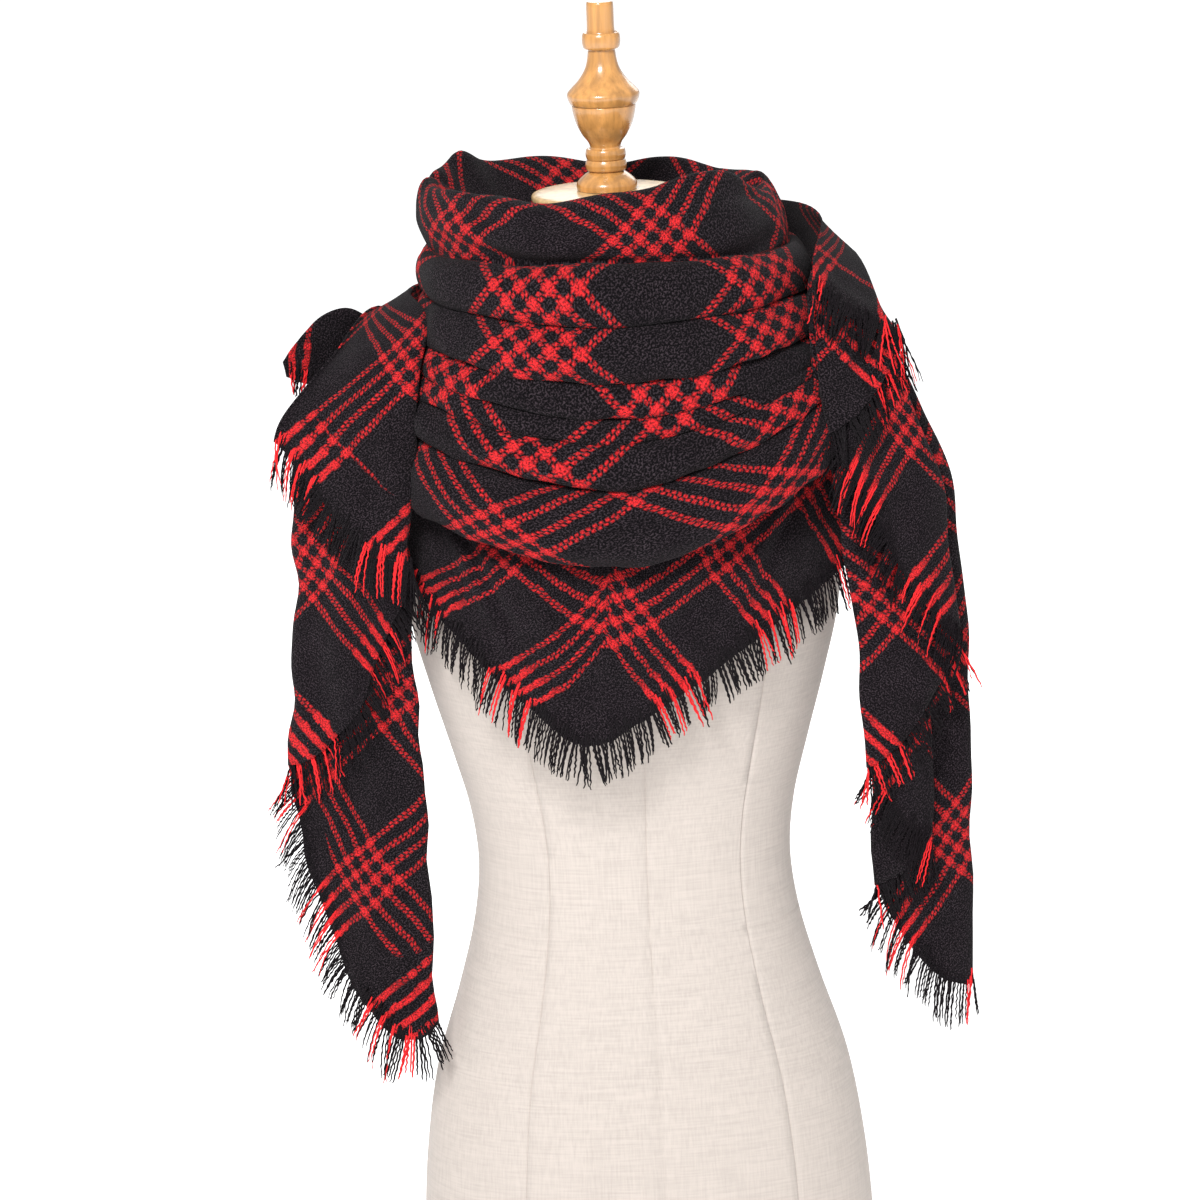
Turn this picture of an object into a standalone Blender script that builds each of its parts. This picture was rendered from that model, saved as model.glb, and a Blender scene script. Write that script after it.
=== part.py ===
"""Blanket scarf worn on a limbless dress form.

Metres, +Z up. The form's front faces -Y and its flat base stands on z = 0. "Left" and "right" are -X and
+X, as seen by someone who faces the front. The scarf is one square cloth folded corner to corner: its
point hangs in front under a stack of soft rolls, and its two ends go behind the neck and hang over the
shoulders as pleated falls with stepped, fringed hems.
"""
import math

import bpy
import numpy as np

CLOTH = 0.0016  # thickness of the woven cloth
SEAM = 0.0003  # gap between pieces that meet
FRINGE = 0.027  # reach of the fringe past a hem
FRINGE_WALL = 0.0013
FRINGE_SQUARE = 0.55  # how far the fringe keeps square to its hem, where 0 hangs straight down
COLLAR_SEAM = math.radians(96)  # where the collar's front and back stretches meet, from the front
SWAG = 1.6  # how a crease leaves its lowest point: 1 straight, 2 round

LINEN = ((0.78, 0.70, 0.60), 0.9)
HONEY_WOOD = ((0.60, 0.30, 0.10), 0.25)
PALE_WOOD = ((0.80, 0.60, 0.34), 0.45)
WOOL = ((0.035, 0.033, 0.038), 0.95)
WOOL_RED = ((0.50, 0.03, 0.03), 0.95)

# Torso sections: height, half width, depth to the front, depth to the back.
TORSO = (
    (0.000, 0.176, 0.112, 0.124),
    (0.070, 0.171, 0.110, 0.123),
    (0.140, 0.160, 0.104, 0.117),
    (0.205, 0.140, 0.096, 0.106),
    (0.258, 0.126, 0.088, 0.095),
    (0.305, 0.1205, 0.084, 0.088),
    (0.350, 0.125, 0.088, 0.087),
    (0.400, 0.138, 0.099, 0.090),
    (0.450, 0.152, 0.112, 0.095),
    (0.500, 0.164, 0.120, 0.100),
    (0.550, 0.168, 0.110, 0.104),
    (0.600, 0.166, 0.094, 0.105),
    (0.640, 0.167, 0.079, 0.102),
    (0.675, 0.171, 0.066, 0.094),
    (0.700, 0.168, 0.056, 0.080),
    (0.722, 0.138, 0.050, 0.066),
    (0.742, 0.096, 0.048, 0.058),
    (0.768, 0.064, 0.050, 0.054),
    (0.800, 0.0555, 0.052, 0.054),
    (0.8175, 0.0545, 0.052, 0.054),
)
TORSO_SIDES = 36
TORSO_SQUARENESS = 2.25  # 2 is an ellipse

CAP_RADIUS = 0.0575
CAP_BOTTOM = 0.8178
CAP_TOP = 0.8236
CAP_DOME = 0.0012

# Turned finial, from its foot up: height above the cap, radius.
FINIAL = (
    (0.0000, 0.0225),
    (0.0035, 0.0230),
    (0.0070, 0.0215),
    (0.0115, 0.0165),
    (0.0140, 0.0128),
    (0.0148, 0.0148),
    (0.0185, 0.0157),
    (0.0222, 0.0148),
    (0.0228, 0.0138),
    (0.0236, 0.0146),
    (0.0272, 0.0153),
    (0.0308, 0.0144),
    (0.0318, 0.0118),
    (0.0360, 0.0128),
    (0.0420, 0.0172),
    (0.0500, 0.0212),
    (0.0580, 0.0234),
    (0.0635, 0.0242),
    (0.0645, 0.0236),
    (0.0655, 0.0254),
    (0.0700, 0.0272),
    (0.0735, 0.0272),
    (0.0770, 0.0244),
    (0.0830, 0.0186),
    (0.0900, 0.0140),
    (0.0960, 0.0118),
    (0.1040, 0.0105),
    (0.1065, 0.0104),
    (0.1072, 0.0132),
    (0.1110, 0.0144),
    (0.1160, 0.0144),
    (0.1190, 0.0132),
    (0.1200, 0.0106),
    (0.1390, 0.0103),
    (0.1425, 0.0094),
)
FINIAL_SIDES = 24

# Lines round the neck, from the inside of the collar, over its rim and down its outside:
# front y, front z, left x, left y, left z, right x, right y, right z, back y, back z.
COLLAR = (
    (-0.074, 0.800, -0.098, 0.008, 0.802, 0.092, 0.008, 0.792, 0.070, 0.796),
    (-0.112, 0.838, -0.134, 0.002, 0.838, 0.118, 0.002, 0.824, 0.100, 0.833),
    (-0.134, 0.815, -0.143, -0.002, 0.812, 0.132, -0.002, 0.804, 0.122, 0.814),
    (-0.128, 0.790, -0.134, -0.004, 0.787, 0.136, -0.004, 0.782, 0.120, 0.790),
)
# The creases below, each at the foot of one roll: the same columns, then how far the roll above the
# crease swells out, how far it hangs over the crease, and how much of both is left at its sides.
COLLAR_CREASE = (-0.131, 0.748, -0.132, -0.006, 0.757, 0.142, -0.006, 0.752, 0.122, 0.752, 0.016, 0.008, 0.55)
CREASES = (
    (-0.133, 0.705, -0.126, -0.040, 0.724, 0.138, -0.040, 0.714, 0, 0, 0.015, 0.008, 0.60),
    (-0.136, 0.678, -0.122, -0.056, 0.704, 0.134, -0.056, 0.696, 0, 0, 0.010, 0.006, 0.45),
    (-0.138, 0.659, -0.120, -0.064, 0.688, 0.131, -0.064, 0.682, 0, 0, 0.009, 0.005, 0.40),
    (-0.139, 0.626, -0.126, -0.074, 0.656, 0.132, -0.074, 0.654, 0, 0, 0.014, 0.007, 0.50),
    (-0.139, 0.566, -0.127, -0.084, 0.592, 0.136, -0.084, 0.606, 0, 0, 0.022, 0.009, 0.45),
)
# The point of the scarf below the rolls: along its fringed hem, then along its hidden top edge: x, y, z.
BIB_HEM = (
    (-0.162, -0.060, 0.541),
    (-0.124, -0.106, 0.502),
    (-0.078, -0.133, 0.459),
    (-0.030, -0.138, 0.426),
    (0.040, -0.136, 0.462),
    (0.106, -0.116, 0.504),
    (0.160, -0.060, 0.548),
)
BIB_TOP = (
    (-0.156, -0.047, 0.644),
    (-0.122, -0.074, 0.610),
    (-0.070, -0.118, 0.576),
    (-0.010, -0.131, 0.562),
    (0.060, -0.121, 0.578),
    (0.120, -0.080, 0.612),
    (0.154, -0.048, 0.650),
)
BIB_SWELL = 0.010

# The loose corner behind the left front flap: its top edge and its foot, from the shoulder out: x, y, z.
FLAP_TOP = (
    (-0.190, 0.016, 0.722),
    (-0.208, 0.006, 0.738),
    (-0.232, -0.004, 0.724),
    (-0.256, -0.012, 0.718),
)
FLAP_FOOT = (
    (-0.191, 0.018, 0.690),
    (-0.208, 0.010, 0.684),
    (-0.230, 0.000, 0.680),
    (-0.250, -0.008, 0.684),
)


class Tail:
    """One end of the scarf, hanging over a shoulder in pleats.

    side is -1 or 1, layer is how far apart the pleats lie, and brow is the number of the section where
    the cloth leaves the shoulder, counted from 0.
    sections run from behind the neck, over the shoulder and down: inner x, y and z, outer x, y and z,
    and the direction (y, z) in which the layers lie on each other.
    folds has a row for each fold line, from the layer in front to the one at the back: 0 on the inner
    edge or 1 on the outer one, the height of the hem there, then as shares of the tail's width how far
    the line keeps in from that edge and how far its foot swings out, and how far the hem bows down
    between this line and the next.
    """

    def __init__(self, side, layer, brow, names, sections, folds):
        self.side = side
        self.layer = layer
        self.brow = brow
        self.names = names
        self.sections = np.array(sections)
        self.folds = folds


LEFT_TAIL = Tail(
    side=-1,
    layer=0.0095,
    brow=4,
    names=("left_front_flap", "left_middle_fall", "left_lower_fall"),
    sections=(
        (-0.100, 0.084, 0.740, -0.104, 0.094, 0.706, 0.0, 0.0),
        (0.000, 0.108, 0.740, 0.000, 0.122, 0.652, 0.1, 0.0),
        (0.122, 0.082, 0.740, 0.140, 0.102, 0.684, 0.3, 0.3),
        (0.152, 0.006, 0.735, 0.178, 0.012, 0.718, 0.0, 0.8),
        (0.140, -0.044, 0.732, 0.210, -0.030, 0.702, -0.7, 0.5),
        (0.147, -0.070, 0.690, 0.246, -0.045, 0.664, -1.0, 0.1),
        (0.157, -0.076, 0.610, 0.246, -0.050, 0.600, -1.0, 0.0),
        (0.161, -0.068, 0.480, 0.250, -0.046, 0.480, -1.0, 0.0),
        (0.158, -0.058, 0.340, 0.262, -0.040, 0.340, -1.0, 0.0),
        (0.157, -0.052, 0.180, 0.262, -0.036, 0.180, -1.0, 0.0),
    ),
    folds=(
        (1, 0.655, 0.00, 0.12, 0.014),
        (0, 0.556, 0.00, 0.00, 0.036),
        (1, 0.400, 0.02, 0.06, 0.085),
        (0, 0.212, 0.00, 0.00, 0),
    ),
)
RIGHT_TAIL = Tail(
    side=1,
    layer=0.0064,
    brow=5,
    names=(
        "right_front_flap",
        "right_second_fall",
        "right_third_fall",
        "right_fourth_fall",
        "right_fifth_fall",
        "right_hidden_fall",
        "right_lower_fall",
    ),
    sections=(
        (-0.144, 0.056, 0.780, -0.154, 0.070, 0.748, 0.0, 0.0),
        (-0.112, 0.114, 0.790, -0.124, 0.132, 0.718, 0.0, 0.0),
        (0.000, 0.144, 0.796, 0.000, 0.154, 0.690, 0.0, 0.0),
        (0.116, 0.104, 0.782, 0.146, 0.118, 0.692, 0.2, 0.3),
        (0.160, 0.014, 0.752, 0.184, 0.018, 0.724, 0.0, 1.0),
        (0.150, -0.052, 0.742, 0.206, -0.034, 0.708, -0.8, 0.6),
        (0.152, -0.072, 0.684, 0.230, -0.046, 0.656, -1.0, 0.1),
        (0.166, -0.072, 0.600, 0.250, -0.046, 0.600, -1.0, 0.0),
        (0.178, -0.066, 0.480, 0.259, -0.044, 0.480, -1.0, 0.0),
        (0.182, -0.056, 0.340, 0.258, -0.038, 0.340, -1.0, 0.0),
        (0.180, -0.048, 0.180, 0.258, -0.034, 0.180, -1.0, 0.0),
    ),
    folds=(
        (0, 0.760, 0.00, 0.00, 0.006),
        (1, 0.716, 0.07, 0.12, 0.006),
        (0, 0.650, 0.00, 0.00, 0.022),
        (1, 0.476, 0.10, 0.00, 0.015),
        (0, 0.386, -0.05, 0.00, 0.006),
        (1, 0.318, 0.40, 0.00, 0.004),
        (0, 0.288, 0.00, 0.00, 0.020),
        (1, 0.200, 0.00, 0.00, 0),
    ),
)
TURN = 0.10  # share of a pleat's width taken by the turn at each of its edges
# Columns across a pleat, from one fold line to the next.
PLEAT_COLUMNS = (0, 0.45 * TURN, TURN, 0.37, 0.63, 1 - TURN, 1 - 0.45 * TURN, 1)
PLEAT_ROWS = 7  # rows of a pleat from the brow of the shoulder to its hem
ROLL_STEPS = (0.25, 0.5, 0.78, 1)  # rows of a roll, from one crease at 0 to the next at 1
TUCKED = 0.12  # how far into its own top crease a separate stretch of rolls starts


def clear_scene():
    """Remove the objects that the scene starts with."""
    for old in list(bpy.data.objects):
        bpy.data.objects.remove(old, do_unlink=True)


def material(name, look):
    """A plain material from a colour and a roughness."""
    colour, roughness = look
    made = bpy.data.materials.new(name)
    made.use_nodes = True
    shader = made.node_tree.nodes["Principled BSDF"]
    shader.inputs["Base Color"].default_value = (*colour, 1)
    shader.inputs["Roughness"].default_value = roughness
    shader.inputs["Metallic"].default_value = 0
    return made


def place(name, verts, faces, look):
    """A mesh object of these points and faces, smooth where it is round."""
    mesh = bpy.data.meshes.new(name)
    mesh.from_pydata([tuple(map(float, v)) for v in verts], [], faces)
    mesh.materials.append(look)
    mesh.shade_smooth()
    mesh.set_sharp_from_angle(angle=math.radians(50))
    made = bpy.data.objects.new(name, mesh)
    bpy.context.scene.collection.objects.link(made)
    return made


def along(rows, where):
    """The rows of a table read as a smooth curve, at where = 0 on its first row to 1 on its last."""
    rows = np.asarray(rows, float)
    last = len(rows) - 1
    spot = np.clip(np.asarray(where, float), 0, 1) * last
    row = np.minimum(spot.astype(int), last - 1)
    f = (spot - row)[..., None]
    before = rows[np.maximum(row - 1, 0)]
    here = rows[row]
    there = rows[row + 1]
    after = rows[np.minimum(row + 2, last)]
    bend = 2 * before - 5 * here + 4 * there - after
    twist = 3 * here - before - 3 * there + after
    return 0.5 * (2 * here + (there - before) * f + bend * f**2 + twist * f**3)


def wall(name, points, thickness, look):
    """A sheet of points[row, column] made into a closed wall behind the side that it faces."""
    rows, columns = points.shape[:2]
    faces = [
        (r * columns + c, (r + 1) * columns + c, (r + 1) * columns + c + 1, r * columns + c + 1)
        for r in range(rows - 1)
        for c in range(columns - 1)
    ]
    made = place(name, points.reshape(-1, 3), faces, look)
    thick = made.modifiers.new("wall", "SOLIDIFY")
    thick.thickness = thickness
    thick.offset = -1
    return made


def torso(look):
    """The linen body: oval sections up to the neck, closed flat below and above."""
    turn = np.linspace(0, 2 * math.pi, TORSO_SIDES, endpoint=False)
    power = 2 / TORSO_SQUARENESS
    across = np.sign(np.cos(turn)) * np.abs(np.cos(turn)) ** power
    deep = np.sign(np.sin(turn)) * np.abs(np.sin(turn)) ** power
    verts = []
    for z, half, front, back in TORSO:
        y = np.where(deep > 0, back * deep, front * deep)
        verts += list(zip(half * across, y, np.full(TORSO_SIDES, z)))
    n = TORSO_SIDES
    faces = [
        (k * n + i, k * n + (i + 1) % n, (k + 1) * n + (i + 1) % n, (k + 1) * n + i)
        for k in range(len(TORSO) - 1)
        for i in range(n)
    ]
    faces.append(tuple(reversed(range(n))))
    faces.append(tuple(range((len(TORSO) - 1) * n, len(TORSO) * n)))
    return place("form_torso", verts, faces, look)


def turned(name, profile, sides, look):
    """A solid turned about Z from rows of height and radius, closed at both ends."""
    turn = np.linspace(0, 2 * math.pi, sides, endpoint=False)
    verts = [(r * math.cos(a), r * math.sin(a), z) for z, r in profile for a in turn]
    faces = [
        (k * sides + i, k * sides + (i + 1) % sides, (k + 1) * sides + (i + 1) % sides, (k + 1) * sides + i)
        for k in range(len(profile) - 1)
        for i in range(sides)
    ]
    faces.append(tuple(reversed(range(sides))))
    faces.append(tuple(range((len(profile) - 1) * sides, len(profile) * sides)))
    return place(name, verts, faces, look)


def neck_line(row, angle):
    """A line round the neck at angles from its front: -90 degrees at its left side, 90 at its right."""
    front_y, front_z, left_x, left_y, left_z, right_x, right_y, right_z, back_y, back_z = row[:10]
    sine = np.sin(angle)
    cosine = np.cos(angle)
    x = np.where(sine > 0, right_x, -left_x) * sine
    side_y = np.where(sine > 0, right_y, left_y)
    side_z = np.where(sine > 0, right_z, left_z)
    middle_y = np.where(cosine > 0, front_y, back_y)
    middle_z = np.where(cosine > 0, front_z, back_z)
    y = side_y + (middle_y - side_y) * np.abs(cosine)
    z = middle_z + (side_z - middle_z) * np.abs(sine) ** SWAG
    return np.stack([x, y, z], -1)


def roll(above, crease, angle, steps):
    """The rows of one soft roll, from just below the crease above it to its own crease."""
    top = neck_line(above, angle)
    foot = neck_line(crease, angle)
    swell, hang, at_side = crease[10:13]
    fade = at_side + (1 - at_side) * np.abs(np.cos(angle))
    out = np.stack([np.sin(angle), -np.cos(angle), np.zeros_like(angle)], -1)
    rows = []
    for t in steps:
        a = math.pi * t
        body = top + (foot - top) * (1 - math.cos(a)) / 2
        body += out * (swell * fade * math.sin(a))[:, None]
        body[:, 2] -= hang * fade * math.sin(a) * (1 - math.cos(a)) / 2
        rows.append(body)
    return rows


def collar_points(angle):
    """The collar from its hidden inside, over the rim and down to the foot of its second roll."""
    rows = [neck_line(row, angle) for row in along(COLLAR, np.linspace(0, 1, 9))]
    rows += roll(COLLAR[-1], COLLAR_CREASE, angle, ROLL_STEPS)
    return np.stack(rows)


def roll_points(top, creases, angle):
    """The rolls between a top line and the last of these creases."""
    rows = []
    for above, crease in zip((top, *creases), creases):
        rows += roll(above, crease, angle, ROLL_STEPS if rows else (TUCKED, *ROLL_STEPS))
    return np.stack(rows)


def collar(look):
    """The collar's front and back stretches, which meet at the sides."""
    seam = 1.5 * SEAM / 0.10
    front = np.linspace(-COLLAR_SEAM, COLLAR_SEAM, 21)
    back = np.linspace(COLLAR_SEAM + seam, 2 * math.pi - COLLAR_SEAM - seam, 19)
    wall("front_collar", collar_points(front), CLOTH, look)
    wall("back_collar", collar_points(back), CLOTH, look)


def chest(look):
    """The rolls under the collar, over the chest."""
    front = np.radians(np.linspace(-92, 92, 21))
    wall("front_rolls", roll_points(COLLAR_CREASE, CREASES, front), CLOTH, look)


def bib_points(across, down):
    """The point of the scarf at across = 0 to 1 from left to right and down = 0 to 1 from top to hem."""
    hem = along(BIB_HEM, across)
    top = along(BIB_TOP, across)
    points = top[None] + (hem - top)[None] * down[:, None, None]
    points[..., 1] -= BIB_SWELL * np.sin(math.pi * down)[:, None] * np.sin(math.pi * across)[None]
    return points


def fringe(name, points, look, reach=FRINGE):
    """The plain reach of the fringe past the last row of a sheet."""
    hem = points[-1]
    run = np.gradient(hem, axis=0)
    run /= np.linalg.norm(run, axis=1, keepdims=True)
    fall = hem - points[-2]
    fall -= (fall * run).sum(1, keepdims=True) * run
    fall /= np.linalg.norm(fall, axis=1, keepdims=True)
    start = hem + fall * SEAM * 1.5
    fall = FRINGE_SQUARE * fall + (1 - FRINGE_SQUARE) * np.array([0, 0, -1])
    fall /= np.linalg.norm(fall, axis=1, keepdims=True)
    strip = np.stack([start, start + fall * reach])
    wall(name, strip, FRINGE_WALL, look)


def bib(cloth, yarn):
    """The point of the scarf and its fringe."""
    points = bib_points(np.linspace(0, 1, 21), np.linspace(0, 1, 7))
    wall("front_point", points, CLOTH, cloth)
    fringe("front_point_fringe", points, yarn)


def back_flap(cloth, yarn):
    """A loose corner that shows behind the left front flap."""
    out = np.linspace(0, 1, 9)
    top = along(FLAP_TOP, out)
    foot = along(FLAP_FOOT, out)
    points = np.stack([top + (foot - top) * t for t in np.linspace(0, 1, 5)])
    sheet = points.transpose(1, 0, 2)[:, ::-1]
    wall("left_back_flap", sheet, CLOTH, cloth)
    fringe("left_back_flap_fringe", sheet, yarn, 0.4 * FRINGE)


def tail_surface(tail, spot, share, lift):
    """Points of a tail's common surface: spot counts its sections from 0, share runs from the inner
    edge at 0 to the outer one at 1, and lift counts layers up from the last."""
    table = along(tail.sections, spot / (len(tail.sections) - 1))
    points = table[..., 0:3] + (table[..., 3:6] - table[..., 0:3]) * share[..., None]
    points[..., 1:] += table[..., 6:8] * (tail.layer * lift)[..., None]
    points[..., 0] *= tail.side
    return points


def hem_spot(tail, share, height, lift):
    """Where each column of a pleat reaches the height of its hem, counted in sections."""
    dense = np.linspace(tail.brow - 1, len(tail.sections) - 1, 401)
    grid = np.broadcast_to(dense[:, None], (401, len(share)))
    z = tail_surface(tail, grid, np.broadcast_to(share, grid.shape), np.broadcast_to(lift, grid.shape))[..., 2]
    return np.array([np.interp(-h, -column, dense) for h, column in zip(height, z.T)])


def pleat(tail, k, over, down, columns):
    """The pleat between fold lines k and k + 1, rounded where it turns at each of them.

    over lists the sections, up to the brow, that it passes on the shoulder, down is the share of the way
    from there to the hem, and columns run from one fold line to the other.
    """
    edge, foot, inset, swing, bow = tail.folds[k]
    next_edge, next_foot, next_inset, next_swing = tail.folds[k + 1][:4]
    columns = np.asarray(columns)
    over = np.asarray(over)[:, None]
    down = np.asarray(down)[:, None]
    own = edge + (inset if edge == 0 else -inset)
    following = next_edge + (next_inset if next_edge == 0 else -next_inset)
    share = own + (following - own) * columns
    run = np.concatenate([np.zeros_like(over), down])
    share = share + run**2 * (swing + (next_swing - swing) * columns)
    # Level across most of its width, then quickly round to the fold line.
    near = np.minimum(columns, 1 - columns)
    level = 1 - (1 - np.minimum(near / TURN, 1)) ** 2
    apart = (CLOTH + SEAM) / 2 / tail.layer
    rise = (1 - level) * (0.5 - apart) * np.sign(0.5 - columns)
    lift = len(tail.folds) - 1.5 - k + rise
    height = foot + (next_foot - foot) * columns - bow * 4 * columns * (1 - columns)
    last = hem_spot(tail, share[-1], height, lift)
    brow = np.minimum(tail.brow, last - 0.3)
    spot = np.concatenate([over * brow / tail.brow, brow + (last - brow) * down])
    return tail_surface(tail, spot, share, np.broadcast_to(lift, spot.shape))


def tail_panels(tail, cloth, yarn):
    """The pleats of a tail, one wall for each stretch between two folds.

    The first runs on behind the neck, over the others, which start on top of the shoulder.
    """
    for k, name in enumerate(tail.names):
        over = np.arange(0 if k == 0 else tail.brow - 1, tail.brow, 0.25)
        points = pleat(tail, k, over, np.linspace(0, 1, PLEAT_ROWS), PLEAT_COLUMNS)
        if points[-1, 0, 0] > points[-1, -1, 0]:
            points = points[:, ::-1]
        wall(name, points, CLOTH, cloth)
        fringe(name + "_fringe", points, yarn)


def build():
    """Make every piece."""
    clear_scene()
    linen = material("form_linen", LINEN)
    honey = material("form_wood", HONEY_WOOD)
    pale = material("cap_wood", PALE_WOOD)
    wool = material("scarf_cloth", WOOL)
    torso(linen)
    cap = (
        (CAP_BOTTOM, CAP_RADIUS - 0.001),
        (CAP_BOTTOM + 0.001, CAP_RADIUS),
        (CAP_TOP - 0.002, CAP_RADIUS),
        (CAP_TOP - 0.0005, CAP_RADIUS - 0.0015),
        (CAP_TOP, 0.040),
        (CAP_TOP + CAP_DOME, 0.025),
    )
    turned("form_neck_cap", cap, 36, pale)
    base = CAP_TOP + CAP_DOME + SEAM
    turned("form_finial", tuple((base + z, r) for z, r in FINIAL), FINIAL_SIDES, honey)
    yarn = material("scarf_fringe", WOOL_RED)
    collar(wool)
    chest(wool)
    bib(wool, yarn)
    back_flap(wool, yarn)
    tail_panels(LEFT_TAIL, wool, yarn)
    tail_panels(RIGHT_TAIL, wool, yarn)


build()
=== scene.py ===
"""Blanket scarf worn on a limbless dress form: the finished look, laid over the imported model.

Metres, +Z up. The form's front faces -Y and its base stands on z = 0. "Left" and "right" are -X and +X,
as seen by someone who faces the front. The scarf is one square cloth folded corner to corner. Its check
is laid out in the cloth's own two directions, so it follows every roll and pleat.
"""

import math

import bpy
import numpy as np
from mathutils import Matrix


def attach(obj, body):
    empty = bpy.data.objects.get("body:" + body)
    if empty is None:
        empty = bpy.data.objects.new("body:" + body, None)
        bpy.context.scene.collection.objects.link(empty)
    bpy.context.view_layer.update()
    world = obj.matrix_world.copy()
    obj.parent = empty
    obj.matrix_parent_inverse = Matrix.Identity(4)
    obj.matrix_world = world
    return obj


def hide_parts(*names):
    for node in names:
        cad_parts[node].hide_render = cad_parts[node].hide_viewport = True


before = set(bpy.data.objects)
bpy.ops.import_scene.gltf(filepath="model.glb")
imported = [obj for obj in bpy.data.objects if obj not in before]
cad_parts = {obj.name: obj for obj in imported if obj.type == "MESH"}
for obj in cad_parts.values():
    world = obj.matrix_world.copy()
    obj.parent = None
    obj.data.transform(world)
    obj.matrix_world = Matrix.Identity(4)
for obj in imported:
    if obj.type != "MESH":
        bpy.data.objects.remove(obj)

bl_info = {
    "name": "Blanket Scarf on Dress Form",
    "version": (1, 0, 0),
    "blender": (4, 5, 0),
    "location": "View3D > Sidebar > Scarf",
    "description": "Finished cloth, fringe, linen and wood for a scarf worn on a dress form",
    "category": "Object",
}

CLOTH = 0.0013  # thickness of the woven cloth
FRINGE_SQUARE = 0.55  # how far the fringe keeps square to its hem, where 0 hangs straight down
SWAG = 1.6  # how a crease leaves its lowest point: 1 straight, 2 round

# Torso sections: height, half width, depth to the front, depth to the back.
TORSO = (
    (0.000, 0.176, 0.112, 0.124),
    (0.070, 0.171, 0.110, 0.123),
    (0.140, 0.160, 0.104, 0.117),
    (0.205, 0.140, 0.096, 0.106),
    (0.258, 0.126, 0.088, 0.095),
    (0.305, 0.1205, 0.084, 0.088),
    (0.350, 0.125, 0.088, 0.087),
    (0.400, 0.138, 0.099, 0.090),
    (0.450, 0.152, 0.112, 0.095),
    (0.500, 0.164, 0.120, 0.100),
    (0.550, 0.168, 0.110, 0.104),
    (0.600, 0.166, 0.094, 0.105),
    (0.640, 0.167, 0.079, 0.102),
    (0.675, 0.171, 0.066, 0.094),
    (0.700, 0.168, 0.056, 0.080),
    (0.722, 0.138, 0.050, 0.066),
    (0.742, 0.096, 0.048, 0.058),
    (0.768, 0.064, 0.050, 0.054),
    (0.800, 0.0555, 0.052, 0.054),
    (0.8175, 0.0545, 0.052, 0.054),
)
TORSO_SQUARENESS = 2.25  # 2 is an ellipse

CAP_RADIUS = 0.0575
CAP_BOTTOM = 0.8178
CAP_TOP = 0.8236
CAP_DOME = 0.0012

# Turned finial, from its foot up: height above the cap, radius.
FINIAL = (
    (0.0000, 0.0225),
    (0.0035, 0.0230),
    (0.0070, 0.0215),
    (0.0115, 0.0165),
    (0.0140, 0.0128),
    (0.0148, 0.0148),
    (0.0185, 0.0157),
    (0.0222, 0.0148),
    (0.0228, 0.0138),
    (0.0236, 0.0146),
    (0.0272, 0.0153),
    (0.0308, 0.0144),
    (0.0318, 0.0118),
    (0.0360, 0.0128),
    (0.0420, 0.0172),
    (0.0500, 0.0212),
    (0.0580, 0.0234),
    (0.0635, 0.0242),
    (0.0645, 0.0236),
    (0.0655, 0.0254),
    (0.0700, 0.0272),
    (0.0735, 0.0272),
    (0.0770, 0.0244),
    (0.0830, 0.0186),
    (0.0900, 0.0140),
    (0.0960, 0.0118),
    (0.1040, 0.0105),
    (0.1065, 0.0104),
    (0.1072, 0.0132),
    (0.1110, 0.0144),
    (0.1160, 0.0144),
    (0.1190, 0.0132),
    (0.1200, 0.0106),
    (0.1390, 0.0103),
    (0.1425, 0.0094),
)

# Lines round the neck, from the inside of the collar, over its rim and down its outside:
# front y, front z, left x, left y, left z, right x, right y, right z, back y, back z.
COLLAR = (
    (-0.074, 0.800, -0.098, 0.008, 0.802, 0.092, 0.008, 0.792, 0.070, 0.796),
    (-0.112, 0.838, -0.134, 0.002, 0.838, 0.118, 0.002, 0.824, 0.100, 0.833),
    (-0.134, 0.815, -0.143, -0.002, 0.812, 0.132, -0.002, 0.804, 0.122, 0.814),
    (-0.128, 0.790, -0.134, -0.004, 0.787, 0.136, -0.004, 0.782, 0.120, 0.790),
)
# The creases below, each at the foot of one roll: the same columns, then how far the roll above the
# crease swells out, how far it hangs over the crease, and how much of both is left at its sides.
COLLAR_CREASE = (-0.131, 0.748, -0.132, -0.006, 0.757, 0.142, -0.006, 0.752, 0.122, 0.752, 0.022, 0.013, 0.62)
CREASES = (
    (-0.133, 0.705, -0.138, -0.030, 0.726, 0.148, -0.030, 0.722, 0, 0, 0.023, 0.013, 0.62),
    (-0.136, 0.678, -0.146, -0.040, 0.706, 0.154, -0.040, 0.706, 0, 0, 0.018, 0.011, 0.58),
    (-0.138, 0.659, -0.154, -0.045, 0.690, 0.158, -0.045, 0.700, 0, 0, 0.015, 0.009, 0.55),
    (-0.139, 0.626, -0.150, -0.050, 0.662, 0.162, -0.050, 0.688, 0, 0, 0.022, 0.013, 0.55),
    (-0.139, 0.566, -0.152, -0.056, 0.604, 0.166, -0.050, 0.640, 0, 0, 0.028, 0.015, 0.50),
)
# The point of the scarf below the rolls: along its fringed hem, then along its hidden top edge: x, y, z.
BIB_HEM = (
    (-0.174, -0.046, 0.556),
    (-0.124, -0.106, 0.502),
    (-0.078, -0.133, 0.459),
    (-0.030, -0.138, 0.426),
    (0.040, -0.136, 0.462),
    (0.106, -0.116, 0.504),
    (0.183, -0.048, 0.548),
)
BIB_TOP = (
    (-0.172, -0.034, 0.655),
    (-0.122, -0.074, 0.610),
    (-0.070, -0.118, 0.576),
    (-0.010, -0.131, 0.562),
    (0.060, -0.121, 0.578),
    (0.120, -0.080, 0.612),
    (0.178, -0.040, 0.662),
)
BIB_SWELL = 0.010

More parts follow.
